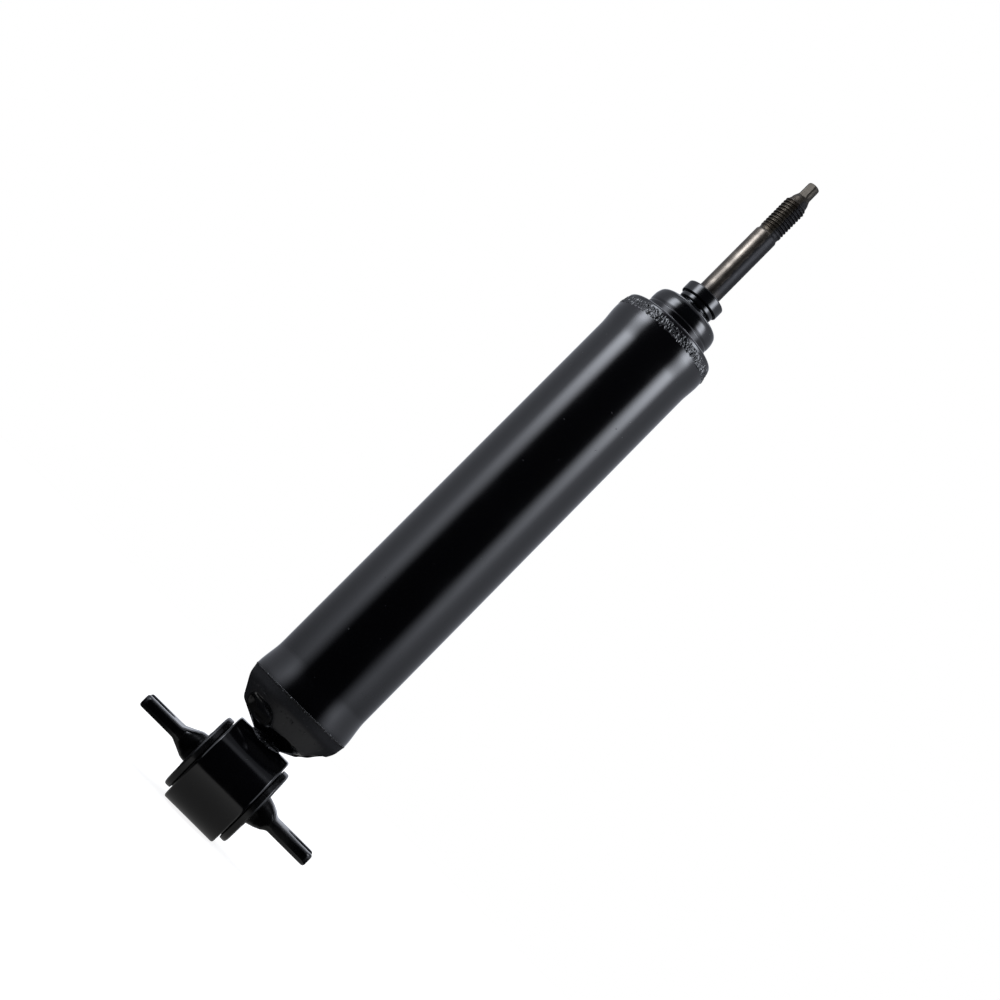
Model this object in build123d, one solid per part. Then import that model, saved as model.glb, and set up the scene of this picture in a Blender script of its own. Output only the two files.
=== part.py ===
from build123d import *
import math
import os

os.makedirs("parts", exist_ok=True)

# Driving sizes, in millimetres and degrees
eye_diameter = 42.2
eye_wall = 3.85
eye_width = 26.0
lip_thickness = 3.3
lip_gap = 0.6
lip_diameter = 35.2
bar_length = 88.4
bar_core_diameter = 13.8
tang_thickness = 5.5
tang_width = 21.0
left_forging = 9.4
right_forging = 7.0
slot_width = 10.5
slot_pitch = 72.5
cup_height = 18.8
cup_wall = 2.5
dimple_count = 3
dimple_radius = 8.0
dimple_turn = -36.0
tube_diameter = 45.0
tube_wall = 1.5
tube_length = 203.3
flare_growth = 1.2
flare_length = 12.3
bell_growth = 0.55
bell_length = 11.0
cap_height = 17.4
cap_wall = 1.8
cap_skirt = 6.0
dome_diameter = 31.0
mouth_diameter = 15.4
mouth_height = 1.9
bead_height = 5.9
bead_taper = 1.3
oil_gap = 5.0
pressure_wall = 1.0
rod_diameter = 12.5
tenon_diameter = 8.0
guide_spigot = 5.0
guide_height = 16.0
guide_drop = 5.0
seal_lift = 4.0
seal_washer_height = 0.8
foot_leg_height = 5.5
foot_rim_height = 3.0
foot_spigot = 3.5
bolt_diameter = 5.0
valve_plate = 0.5
star_height = 1.4
nut_height = 6.5
nut_flats = 13.0
foot_nut_height = 4.1
foot_nut_flats = 8.0
disc_step = 1.4
rebound_gap = 9.2
stop_gap = 8.9
stop_height = 4.0
bumper_height = 6.5
bumper_wall = 5.3
collar_diameter = 18.1
collar_height = 5.0
ring_diameter = 16.2
ring_height = 2.5
stud_diameter = 10.3
stud_length = 35.0
thread_diameter = 10.0
thread_length = 13.8
tip_diameter = 5.4
tip_length = 5.4
tip_taper = 6.3
piston_height = 12.0
running = 0.05
seating = 0.02

# Heights and radii that follow from them
eye_r = eye_diameter / 2
bore_r = eye_r - eye_wall
core_r = bar_core_diameter / 2
foot_z = eye_r + 0.15
seam_z = foot_z + cup_height
tube_r = tube_diameter / 2
flare_r = tube_r + flare_growth
bell_r = tube_r + bell_growth
tube_foot_z = seam_z + 0.4
tube_top_z = seam_z + tube_length
cap_r = tube_r - tube_wall - running
dome_r = dome_diameter / 2
dome_top_z = tube_top_z + cap_height
mouth_r = mouth_diameter / 2
mouth_z = dome_top_z + mouth_height
rod_r = rod_diameter / 2
pressure_r = tube_r - tube_wall - oil_gap
pressure_bore_r = pressure_r - pressure_wall
tenon_r = tenon_diameter / 2
stud_r = stud_diameter / 2
thread_r = thread_diameter / 2
tip_r = tip_diameter / 2
bolt_r = bolt_diameter / 2
reach = 4 * tube_r

# The ring between the hub of each valve and the bore that its ports and plate share
hub_r = tenon_r + 1.4
port_ring = pressure_bore_r - hub_r
inner_pitch_r = hub_r + 0.16 * port_ring
inner_port_r = 0.11 * port_ring
outer_pitch_r = hub_r + 0.57 * port_ring
outer_port_r = 0.13 * port_ring
plate_bore_r = hub_r + 0.32 * port_ring
plate_r = hub_r + 0.8 * port_ring
star_r = hub_r + 0.7 * port_ring


# A closed outline of (radius, height) corners, each with an optional rounding
def outline(*corners):
    face = Sketch() + make_face(Polyline(*[c[:2] for c in corners], close=True))
    for x, y, *rounding in corners:
        if rounding:
            corner = face.vertices().sort_by_distance((x, y, 0))[0]
            face = fillet(corner, rounding[0])
    return face


# A solid turned about the axis of the absorber
def turned(*corners):
    return revolve(Plane.XZ * outline(*corners), Axis.Z)


# A solid turned about the axis of the eye, from (radius, distance) corners
def turned_on_bar(*corners):
    face = outline(*[(c[1], c[0], *c[2:]) for c in corners])
    return revolve(Plane.XZ * face, Axis.X)


# A flat washer or sleeve between two heights
def sleeve(outer, inner, low, high):
    blank = Pos(0, 0, low) * Cylinder(outer, high - low, align=on_floor)
    return blank - Pos(0, 0, low - 1) * Cylinder(inner, high - low + 2, align=on_floor)


# A half outline moved inward by a wall, still closed at the axis
def inset(half, wall):
    whole = half + mirror(half, Plane.YZ)
    inner = offset(whole, -wall, kind=Kind.INTERSECTION)
    return inner & Rectangle(reach, 2 * (dome_top_z + reach), align=(Align.MIN, Align.CENTER))


# Round holes through a height, evenly spaced round the axis
def ports(count, pitch_r, hole_r, low, high, turn=0.0):
    drill = Pos(0, 0, low) * Cylinder(hole_r, high - low, align=on_floor)
    return [Rot(0, 0, turn + 360 * i / count) * (Pos(pitch_r, 0, 0) * drill) for i in range(count)]


# A coil of square wire between two heights
def coil(mid_r, wire, low, high, turns):
    rise = high - low - 1.2 * wire
    path = Pos(0, 0, low + 0.6 * wire) * Helix(pitch=rise / turns, height=rise, radius=mid_r)
    start = Plane(path @ 0, x_dir=(1, 0, 0), z_dir=path % 0)
    return sweep(start * Rectangle(wire, wire), path=path, is_frenet=True)


# A dished star of spring steel whose arms press on a valve plate
def star_spring(outer, inner, low, high, arms):
    sheet = 0.3
    dish = turned((inner, high - sheet), (inner, high), (inner + 2.0, high), (outer, low + sheet),
                  (outer, low), (inner + 2.0, high - sheet))
    gap_width = math.pi * (inner + 3.0) / arms
    gap = Pos(inner + 3.0, 0, low - 1) * Box(outer, gap_width, high - low + 2, align=outward)
    for i in range(arms):
        dish -= Rot(0, 0, 360 * i / arms) * gap
    return dish


on_floor = (Align.CENTER, Align.CENTER, Align.MIN)
outward = (Align.MIN, Align.CENTER, Align.MIN)
parts = {}

# Eye ring with lightly broken rims
ring_half = eye_width / 2
parts["eye_ring"] = turned_on_bar(
    (bore_r, -ring_half), (eye_r, -ring_half, 0.9), (eye_r, ring_half, 0.9), (bore_r, ring_half))

# Bar pin, forged flat at both ends with a U slot open to each end
bar_half = bar_length / 2
tang_half = tang_thickness / 2
seat_x = slot_pitch / 2
lip_outer_x = ring_half + lip_gap + lip_thickness
tang_x = lip_outer_x + left_forging
swell_x = lip_outer_x + right_forging
left_side = Spline((-lip_outer_x, core_r), (-lip_outer_x - 4.9, core_r - 1.9), (-tang_x - 1.4, tang_half),
                   tangents=[(-1, 0), (-1, 0)])
right_side = Spline((lip_outer_x, core_r), (lip_outer_x + 4.3, core_r - 1.8), (swell_x + 0.6, tang_half),
                    tangents=[(1, 0), (1, -0.8)])
top_line = Line((-bar_half, tang_half), (-tang_x - 1.4, tang_half))
top_line += left_side
top_line += Line((-lip_outer_x, core_r), (lip_outer_x, core_r))
top_line += right_side
top_line += Line((swell_x + 0.6, tang_half), (bar_half, tang_half))
top_line += Line((bar_half, tang_half), (bar_half, 0))
top_line += Line((bar_half, 0), (-bar_half, 0))
top_line += Line((-bar_half, 0), (-bar_half, tang_half))
side_view = make_face(top_line)
side_view += mirror(side_view, Plane.XZ)
thickness_form = extrude(Plane.XZ * side_view, tang_width, both=True)
plan_half = make_face(
    Line((0, 0), (0, core_r))
    + Line((0, core_r), (lip_outer_x, core_r))
    + Spline((lip_outer_x, core_r), (tang_x - 1.0, tang_width / 2), tangents=[(1, 0), (1, 0)])
    + Line((tang_x - 1.0, tang_width / 2), (bar_half, tang_width / 2))
    + Line((bar_half, tang_width / 2), (bar_half, 0))
    + Line((bar_half, 0), (0, 0)))
plan_half = fillet(plan_half.vertices().sort_by_distance((bar_half, tang_width / 2, 0))[0], 2.6)
slot_run = Rectangle(bar_half, slot_width, align=(Align.MIN, Align.CENTER))
slot = Pos(seat_x, 0) * (Circle(slot_width / 2) + slot_run)
plan_quarter = plan_half - slot
mouth_corner = plan_quarter.vertices().sort_by_distance((bar_half, slot_width / 2, 0))[0]
plan_quarter = fillet(mouth_corner, 0.9)
plan_view = plan_quarter + mirror(plan_quarter, Plane.XZ)
plan_view += mirror(plan_view, Plane.YZ)
width_form = extrude(plan_view, core_r + 1, both=True)
forged_form = revolve(Plane.XZ * make_face(
    Line((0, 0), (0, core_r))
    + Line((0, core_r), (lip_outer_x + 0.6, core_r))
    + Spline((lip_outer_x + 0.6, core_r), (tang_x, tang_width / 2 + 0.05), tangents=[(1, 0), (1, 0.6)])
    + Line((tang_x, tang_width / 2 + 0.05), (bar_half + 1, tang_width / 2 + 0.05))
    + Line((bar_half + 1, tang_width / 2 + 0.05), (bar_half + 1, 0))
    + Line((bar_half + 1, 0), (0, 0))), Axis.X)
forged_form += mirror(forged_form, Plane.YZ)
parts["bar_pin"] = thickness_form & width_form & forged_form

# Rubber bush in the eye, with a rounded lip standing clear of each rim
neck_r = bore_r - 1.2
lip_r = lip_diameter / 2
parts["eye_bushing"] = turned_on_bar(
    (core_r + running, -lip_outer_x), (core_r + 2.2, -lip_outer_x), (lip_r, -lip_outer_x + 0.5, 1.2),
    (lip_r, -ring_half - lip_gap), (neck_r, -ring_half - lip_gap / 2), (bore_r - seating, -ring_half + 0.6),
    (bore_r - seating, ring_half - 0.6), (neck_r, ring_half + lip_gap / 2), (lip_r, ring_half + lip_gap),
    (lip_r, lip_outer_x - 0.5, 1.2), (core_r + 2.2, lip_outer_x), (core_r + running, lip_outer_x))

# Base cup: a pressed bowl of even wall, dimpled from outside, with a spigot that enters the tube
knee_r = flare_r * 0.768
hip_r = flare_r - 0.7
bowl = outline(
    (0, foot_z), (6.6, foot_z, 2.0), (knee_r, foot_z + 0.303 * cup_height, 4.0),
    (hip_r, seam_z - 4.5, 8.0), (flare_r, seam_z), (flare_r, seam_z + cup_height), (0, seam_z + cup_height))
dimple_depth = 3.0
dimple_r_out = knee_r + 0.77 * (dimple_radius - dimple_depth) + 0.8
dimple_z = foot_z + 0.42 * cup_height - 0.64 * (dimple_radius - dimple_depth) - 0.8


# A thumb shaped form laid across the bowl, for the outside or the inside of a dimple
def thumb(radius):
    half = dimple_radius / 2
    bar = Rot(90, 0, 0) * Cylinder(radius, 2 * half)
    ends = Pos(0, half, 0) * Sphere(radius) + Pos(0, -half, 0) * Sphere(radius)
    return Pos(dimple_r_out, 0, dimple_z) * (bar + ends)


cup_outside = revolve(Plane.XZ * bowl, Axis.Z)
cup_inside = revolve(Plane.XZ * inset(bowl, cup_wall), Axis.Z)
for i in range(dimple_count):
    around = Rot(0, 0, -90 + dimple_turn + 360 * i / dimple_count)
    cup_outside -= around * thumb(dimple_radius)
    cup_inside -= around * thumb(dimple_radius + cup_wall)
below_seam = Pos(0, 0, seam_z - 0.4) * Cylinder(reach, reach, align=(Align.CENTER, Align.CENTER, Align.MAX))
spigot_r = flare_r - tube_wall - 0.45
spigot_bore_r = spigot_r - 1.6
spigot = turned(
    (flare_r - cup_wall + 0.4, seam_z - 4.6), (spigot_bore_r, seam_z - 1.6), (spigot_bore_r, seam_z + 3.0),
    (spigot_r - 0.5, seam_z + 3.0), (spigot_r, seam_z + 2.5), (spigot_r, seam_z - 0.4),
    (flare_r - cup_wall + 0.4, seam_z - 0.4))
parts["base_cup"] = ((cup_outside - cup_inside) & below_seam) + spigot

# Weld that closes the seam between cup and tube
parts["base_weld"] = turned(
    (spigot_r + seating, seam_z - 0.4), (flare_r, seam_z - 0.4), (flare_r + 0.14, seam_z - 0.2),
    (flare_r + 0.14, seam_z + 0.2), (flare_r, seam_z + 0.4), (spigot_r + seating, seam_z + 0.4))

# Weld between the eye and the cup
weld_z = math.sqrt(eye_r**2 - 7.6**2) - 0.4
weld_blank = turned(
    (0, weld_z), (7.7, weld_z), (7.5, foot_z - 0.5, 0.8), (6.3, foot_z + 0.9), (0, foot_z + 0.9))
eye_blank = Rot(0, 90, 0) * Cylinder(eye_r, eye_width + 4)
parts["eye_weld"] = weld_blank - eye_blank - revolve(Plane.XZ * bowl, Axis.Z)

# Reservoir tube, drawn wider at both ends with an even wall
low_bend_z = tube_foot_z + flare_length
high_bend_z = tube_top_z - bell_length


# One long side of the tube wall, moved inward by a given depth
def tube_side(depth):
    low = Spline((flare_r - depth, tube_foot_z), (tube_r - depth, low_bend_z), tangents=[(0, 1), (0, 1)])
    middle = Line((tube_r - depth, low_bend_z), (tube_r - depth, high_bend_z))
    high = Spline((tube_r - depth, high_bend_z), (bell_r - depth, tube_top_z), tangents=[(0, 1), (0, 1)])
    return low + middle + high


tube_wall_face = make_face(
    tube_side(0) + tube_side(tube_wall)
    + Line((flare_r - tube_wall, tube_foot_z), (flare_r, tube_foot_z))
    + Line((bell_r - tube_wall, tube_top_z), (bell_r, tube_top_z)))
parts["reservoir_tube"] = revolve(Plane.XZ * tube_wall_face, Axis.Z)

# Domed cap with a raised mouth for the rod
bead_top_z = tube_top_z + bead_height
dome_foot_z = bead_top_z - 0.2
shoulder_z = dome_foot_z - 0.9
cap_skirt_z = tube_top_z - cap_skirt
cap_form = outline(
    (0, cap_skirt_z - reach), (cap_r, cap_skirt_z - reach), (cap_r, shoulder_z, 2.0),
    (dome_r, dome_foot_z, 1.2), (dome_r, dome_top_z, 3.8), (0, dome_top_z))
cap_solid = revolve(Plane.XZ * cap_form, Axis.Z)
cap_cavity = revolve(Plane.XZ * inset(cap_form, cap_wall), Axis.Z)
cap_fill = revolve(Plane.XZ * inset(cap_form, cap_wall + running), Axis.Z)
above_skirt = Pos(0, 0, cap_skirt_z) * Cylinder(reach, reach, align=on_floor)
mouth = turned(
    (0, dome_top_z - 0.5), (mouth_r + 0.5, dome_top_z - 0.5), (mouth_r + 0.5, dome_top_z),
    (mouth_r, dome_top_z + 0.1), (mouth_r, mouth_z, 0.5), (0, mouth_z))
rod_way = Pos(0, 0, cap_skirt_z) * Cylinder(rod_r + 0.5, reach, align=on_floor)
parts["top_cap"] = ((cap_solid - cap_cavity) & above_skirt) + mouth - rod_way

# Weld bead that closes the top of the tube over the shoulder of the cap
bead_blank = turned(
    (cap_r - 2.6, tube_top_z), (bell_r, tube_top_z),
    (bell_r - 0.2 * bead_taper, tube_top_z + 0.3 * bead_height),
    (bell_r - 0.6 * bead_taper, tube_top_z + 0.7 * bead_height, 3.0), (bell_r - bead_taper, bead_top_z, 0.7),
    (cap_r - 1.8, bead_top_z, 0.4), (cap_r - 2.6, shoulder_z))
parts["top_weld"] = bead_blank - cap_solid

# Pressure tube between the foot valve and the rod guide
lobe_reach = math.sqrt((dimple_radius + cup_wall) ** 2 - (dimple_r_out - pressure_r) ** 2)
leg_z = dimple_z + lobe_reach + running
valve_z = leg_z + foot_leg_height
valve_seat_z = valve_z + foot_rim_height
valve_top_z = valve_seat_z + foot_spigot
guide_seat_z = tube_top_z - guide_drop
guide_low_z = guide_seat_z - guide_spigot
guide_top_z = guide_low_z + guide_height
parts["pressure_tube"] = sleeve(pressure_r, pressure_bore_r, valve_seat_z, guide_seat_z)

# Rod guide, which fills the cap and centres the pressure tube, with oil returns round it
bush_r = rod_r + 1.0
guide = turned(
    (bush_r + seating, guide_low_z), (pressure_bore_r - 1.2, guide_low_z),
    (pressure_bore_r - seating, guide_low_z + 1.2), (pressure_bore_r - seating, guide_seat_z),
    (cap_r, guide_seat_z), (cap_r, guide_top_z), (bush_r + seating, guide_top_z))
guide &= cap_fill
guide -= ports(6, (pressure_r + cap_r - cap_wall) / 2, 0.9, guide_seat_z - 1, guide_top_z + 1)
parts["rod_guide"] = guide
parts["guide_bush"] = sleeve(bush_r, rod_r + running, guide_low_z + 1.0, guide_top_z - 1.0)

# Rod seal in the dome, lifted by a dished spring washer through a flat one
washer_z = guide_top_z + seal_lift
seal_z = washer_z + seal_washer_height
dish_r = dome_r - cap_wall - 0.8
parts["seal_spring"] = turned(
    (rod_r + 1.0, washer_z - 0.7), (rod_r + 1.0, washer_z), (rod_r + 1.6, washer_z),
    (dish_r, guide_top_z + 0.7), (dish_r, guide_top_z), (dish_r - 0.6, guide_top_z))
parts["seal_washer"] = sleeve(dish_r, rod_r + 0.5, washer_z, seal_z)
seal_blank = turned(
    (rod_r + running, seal_z), (rod_r + 1.6, seal_z), (rod_r + 2.2, seal_z + 1.0), (rod_r + 3.0, seal_z),
    (dome_r, seal_z), (dome_r, dome_top_z), (rod_r + 1.4, dome_top_z), (rod_r + running, dome_top_z - 3.0))
parts["rod_seal"] = seal_blank & cap_fill

# Foot valve body on legs that stand on the dimples inside the cup
foot_body = turned(
    (bolt_r + running, valve_z), (pressure_r - 2.5, valve_z), (pressure_r - 2.5, leg_z), (pressure_r, leg_z),
    (pressure_r, valve_seat_z), (pressure_bore_r - seating, valve_seat_z),
    (pressure_bore_r - seating, valve_top_z),
    (bolt_r + running, valve_top_z))
window_z = valve_z - 1.0
window = Pos(0, 0, leg_z - 1) * Box(pressure_r * 1.5, pressure_r * 0.56, window_z - leg_z + 1, align=outward)
for i in range(dimple_count):
    foot_body -= Rot(0, 0, -30 + dimple_turn + 360 * i / dimple_count) * window
foot_body -= ports(6, inner_pitch_r, inner_port_r, leg_z, valve_top_z + 1)
foot_body -= ports(6, outer_pitch_r, outer_port_r, leg_z, valve_top_z + 1)
parts["foot_valve_body"] = foot_body

# Discs, plate and star spring held to the foot valve by its bolt and nut
foot_nut_top_z = valve_z - 1.1
foot_nut_z = foot_nut_top_z - foot_nut_height
foot_disc_r = inner_pitch_r + inner_port_r + 0.4
parts["foot_discs"] = (
    sleeve(foot_disc_r, bolt_r + running, valve_z - 0.35, valve_z)
    + sleeve(foot_disc_r - disc_step, bolt_r + running, valve_z - 0.7, valve_z - 0.35)
    + sleeve(foot_disc_r - 2 * disc_step, bolt_r + running, foot_nut_top_z, valve_z - 0.7))
plate_top_z = valve_top_z + valve_plate
foot_star_z = plate_top_z + star_height
parts["foot_plate"] = sleeve(plate_r, plate_bore_r, valve_top_z, plate_top_z)
parts["foot_star_spring"] = star_spring(star_r, bolt_r + running, plate_top_z, foot_star_z, 6)
foot_bolt_top_z = foot_star_z + 2.4
parts["foot_bolt"] = turned(
    (0, foot_nut_z - 0.8), (bolt_r - 0.4, foot_nut_z - 0.8), (bolt_r, foot_nut_z - 0.4), (bolt_r, valve_top_z),
    (bolt_r + 1.6, valve_top_z), (bolt_r + 1.6, foot_star_z - 0.3), (bolt_r, foot_star_z - 0.3),
    (bolt_r, foot_star_z), (bolt_r + 2.8, foot_star_z), (bolt_r + 2.8, foot_bolt_top_z), (0, foot_bolt_top_z))


# A hexagon nut with chamfered corners
def hex_nut(flats, bore, low, high):
    blank = Pos(0, 0, low) * extrude(RegularPolygon(flats / 2, 6, major_radius=False), high - low)
    corner = flats / math.sqrt(3)
    face_r = flats / 2 - 0.1
    crown = turned((0, low), (face_r, low), (corner, low + 0.6), (corner, high - 0.6), (face_r, high), (0, high))
    return (blank & crown) - Pos(0, 0, low - 1) * Cylinder(bore, high - low + 2, align=on_floor)


parts["foot_nut"] = hex_nut(foot_nut_flats, bolt_r + seating, foot_nut_z, foot_nut_top_z)

# Piston stack, built up from the lower end of the rod
tenon_z = foot_bolt_top_z + 1.4
nut_z = tenon_z + 0.6
nut_top_z = nut_z + nut_height
disc_z = nut_top_z + rebound_gap
piston_z = disc_z + 0.9
piston_top_z = piston_z + piston_height
stack_plate_z = piston_top_z + valve_plate
stack_star_z = stack_plate_z + star_height
rod_shoulder_z = stack_star_z + 1.5
neck_outer_r = tenon_r + 1.6
seat_rim_r = neck_outer_r + 3.6
nut_neck = sleeve(neck_outer_r, tenon_r + seating, nut_top_z - 0.5, disc_z)
parts["piston_nut"] = hex_nut(nut_flats, tenon_r + seating, nut_z, nut_top_z) + nut_neck
parts["rebound_seat"] = turned(
    (neck_outer_r + running, nut_top_z), (seat_rim_r, nut_top_z), (seat_rim_r, nut_top_z + 2.2),
    (seat_rim_r - 0.8, nut_top_z + 2.2), (seat_rim_r - 0.8, nut_top_z + 1.0),
    (neck_outer_r + running, nut_top_z + 1.0))
parts["rebound_spring"] = coil(neck_outer_r + 1.5, 1.4, nut_top_z + 1.0, disc_z, 3.0)
parts["rebound_discs"] = (
    sleeve(plate_bore_r, tenon_r + running, disc_z, disc_z + 0.3)
    + sleeve(plate_bore_r + 0.9, tenon_r + running, disc_z + 0.3, disc_z + 0.6)
    + sleeve(plate_bore_r + 1.8, tenon_r + running, disc_z + 0.6, disc_z + 0.9))

# Piston with ports and a groove for its band
band_half = 3.2
piston_mid_z = (piston_z + piston_top_z) / 2
piston_r = pressure_bore_r - 0.5
groove_r = piston_r - 1.1
piston = turned(
    (tenon_r + running, piston_z), (piston_r - 0.8, piston_z), (piston_r, piston_z + 0.8),
    (piston_r, piston_mid_z - band_half), (groove_r, piston_mid_z - band_half),
    (groove_r, piston_mid_z + band_half),
    (piston_r, piston_mid_z + band_half), (piston_r, piston_top_z - 0.8), (piston_r - 0.8, piston_top_z),
    (tenon_r + running, piston_top_z))
piston -= ports(6, inner_pitch_r, inner_port_r, piston_z - 1, piston_top_z + 1)
piston -= ports(6, outer_pitch_r, outer_port_r, piston_z - 1, piston_top_z + 1)
parts["piston"] = piston
band_z = piston_mid_z - band_half + running
band_top_z = piston_mid_z + band_half - running
parts["piston_band"] = sleeve(pressure_bore_r - running, groove_r + running, band_z, band_top_z)
parts["piston_plate"] = sleeve(plate_r, plate_bore_r, piston_top_z, stack_plate_z)
parts["piston_star_spring"] = star_spring(star_r, hub_r + running, stack_plate_z, stack_star_z, 6)
parts["support_washer"] = (
    sleeve(seat_rim_r, tenon_r + running, stack_star_z, rod_shoulder_z)
    + sleeve(hub_r, tenon_r + running, piston_top_z, stack_star_z))

# Rebound stop and its rubber bumper, which meets the rod guide after some 130 mm of stretch
stop_z = rod_shoulder_z + stop_gap
bumper_z = stop_z + stop_height
bumper_top_z = bumper_z + bumper_height
stop_r = rod_r + 3.1
bumper_r = rod_r + bumper_wall
parts["rebound_stop"] = turned(
    (rod_r + seating, stop_z), (stop_r, stop_z), (stop_r, bumper_z), (rod_r + seating, bumper_z),
    (rod_r + seating, stop_z + 3.0), (rod_r - 0.45, stop_z + 2.7), (rod_r - 0.45, stop_z + 1.3),
    (rod_r + seating, stop_z + 1.0))
parts["rebound_bumper"] = turned(
    (rod_r + running, bumper_z), (bumper_r, bumper_z), (bumper_r, bumper_top_z - 2.5),
    (bumper_r - 2.0, bumper_top_z),
    (rod_r + running, bumper_top_z))

# Collar and ring on the stud, just clear of the mouth of the cap
ring_z = mouth_z + 0.5
collar_z = ring_z + ring_height
collar_top_z = collar_z + collar_height
collar_r = collar_diameter / 2
ring_r = ring_diameter / 2
parts["collar_ring"] = turned(
    (rod_r + seating, ring_z), (ring_r, ring_z, 0.8), (ring_r, collar_z, 0.5), (rod_r + seating, collar_z))
parts["stud_collar"] = turned(
    (rod_r + seating, collar_z), (collar_r, collar_z, 0.5), (collar_r, collar_top_z, 0.8),
    (rod_r + seating, collar_top_z))

# Piston rod in one piece with its plain stud, thread and tip
stud_end_z = collar_top_z + stud_length
thread_z = stud_end_z + 3.8
thread_end_z = thread_z + thread_length
tip_z = thread_end_z + tip_taper
end_z = tip_z + tip_length
root_r = thread_r - 0.35
rod = turned(
    (0, tenon_z), (tenon_r - 0.6, tenon_z), (tenon_r, tenon_z + 0.6), (tenon_r, rod_shoulder_z),
    (rod_r - 0.3, rod_shoulder_z), (rod_r, rod_shoulder_z + 0.3), (rod_r, stop_z + 0.9),
    (rod_r - 0.5, stop_z + 1.2), (rod_r - 0.5, stop_z + 2.8), (rod_r, stop_z + 3.1),
    (rod_r, collar_top_z), (stud_r, collar_top_z),
    (stud_r, stud_end_z, 0.8), (root_r, stud_end_z + 0.9, 0.8), (root_r, thread_z - 0.5), (thread_r, thread_z),
    (thread_r, thread_end_z, 1.2), (thread_r - 1.3, thread_end_z + 3.1), (tip_r, tip_z - 1.0, 3.0),
    (tip_r, end_z, 0.9), (0, end_z))
flat_box = Pos(tip_r - 0.45, 0, tip_z + 0.2) * Box(tip_diameter, 2 * thread_r, 2 * tip_length, align=outward)
for turn in (60, 240):
    rod -= Rot(0, 0, turn) * flat_box
parts["piston_rod"] = rod

# One file for each piece
for name, shape in parts.items():
    export_step(shape, "parts/" + name + ".step")
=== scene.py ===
import math
import bpy
import bmesh
from mathutils import Matrix, Vector, noise


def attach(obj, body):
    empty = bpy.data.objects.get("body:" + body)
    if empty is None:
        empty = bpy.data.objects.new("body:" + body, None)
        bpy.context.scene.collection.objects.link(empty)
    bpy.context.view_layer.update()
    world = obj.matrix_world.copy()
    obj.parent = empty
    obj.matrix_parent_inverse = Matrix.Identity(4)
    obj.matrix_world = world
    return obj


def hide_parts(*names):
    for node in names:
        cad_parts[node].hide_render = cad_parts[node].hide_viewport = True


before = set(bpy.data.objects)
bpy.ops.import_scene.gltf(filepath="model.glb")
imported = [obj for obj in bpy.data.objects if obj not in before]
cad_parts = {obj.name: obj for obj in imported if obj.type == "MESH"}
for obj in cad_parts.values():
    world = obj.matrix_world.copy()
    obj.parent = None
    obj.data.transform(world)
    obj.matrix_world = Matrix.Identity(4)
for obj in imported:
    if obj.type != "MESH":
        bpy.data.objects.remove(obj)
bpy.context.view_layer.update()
print("frame loaded")

mm = 0.001  # forms are drawn in mm; lights, camera and textures are in metres
fullTurn = 2 * math.pi


# Corners are (across, along, rounding) in mm; a closed line also rounds its first and last corner
def roundedLine(corners, closed):
    line = []
    count = len(corners)
    for i, corner in enumerate(corners):
        here = Vector(corner[:2])
        rounding = corner[2] if len(corner) > 2 else 0
        if rounding == 0 or (not closed and i in (0, count - 1)):
            line.append(here)
            continue
        back = (Vector(corners[i - 1][:2]) - here).normalized()
        ahead = (Vector(corners[(i + 1) % count][:2]) - here).normalized()
        half = back.angle(ahead) / 2
        centre = here + (back + ahead).normalized() * rounding / math.sin(half)
        start = here + back * rounding / math.tan(half) - centre
        end = here + ahead * rounding / math.tan(half) - centre
        turn = start.angle_signed(end)
        steps = max(4, round(abs(turn) / math.radians(9)))
        for k in range(steps + 1):
            line.append(centre + Matrix.Rotation(-turn * k / steps, 2) @ start)
    return line


# Straight runs get a point near each end, so smooth shading keeps flats flat, and are cut to a longest run
def filledLine(line, closed, longest, support=0.14):
    filled = []
    count = len(line)
    for i, here in enumerate(line):
        filled.append(here)
        if i == count - 1 and not closed:
            break
        ahead = line[(i + 1) % count]
        run = (ahead - here).length
        if run < 4 * support:
            continue
        parts = max(1, math.ceil((run - 2 * support) / longest))
        for k in range(parts + 1):
            along = support + (run - 2 * support) * k / parts
            filled.append(here.lerp(ahead, along / run))
    return filled


# A form turned about Z, or about X for the eye; the mesh is in mm until it is finished
def lathe(corners, segments=128, closed=True, longest=6.0, aboutX=False):
    line = filledLine(roundedLine(corners, closed), closed, longest)
    form = bmesh.new()
    points = [form.verts.new((point.x, 0, point.y)) for point in line]
    for a, b in zip(points, points[1:]):
        form.edges.new((a, b))
    if closed:
        form.edges.new((points[-1], points[0]))
    bmesh.ops.spin(form, geom=form.verts[:] + form.edges[:], cent=(0, 0, 0), axis=(0, 0, 1), angle=fullTurn,
                   steps=segments, use_merge=True)
    bmesh.ops.remove_doubles(form, verts=form.verts, dist=0.0005)
    if aboutX:
        bmesh.ops.rotate(form, verts=form.verts, cent=(0, 0, 0), matrix=Matrix.Rotation(math.pi / 2, 3, "Y"))
    bmesh.ops.recalc_face_normals(form, faces=form.faces)
    form.normal_update()
    return form


# Turns a form in mm into a finished piece in metres that rides a body and stands for its CAD nodes
def finishPiece(name, form, materials, body, nodes, sharp=40):
    bmesh.ops.scale(form, verts=form.verts, vec=(mm, mm, mm))
    mesh = bpy.data.meshes.new(name)
    form.to_mesh(mesh)
    form.free()
    for material in materials:
        mesh.materials.append(material)
    mesh.shade_smooth()
    mesh.set_sharp_from_angle(angle=math.radians(sharp))
    piece = bpy.data.objects.new(name, mesh)
    bpy.context.scene.collection.objects.link(piece)
    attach(piece, body)
    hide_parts(*nodes)
    print("piece", name, len(mesh.polygons), "faces")
    return piece


def smoothStep(low, high, value):
    share = min(1, max(0, (value - low) / (high - low)))
    return share * share * (3 - 2 * share)


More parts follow.
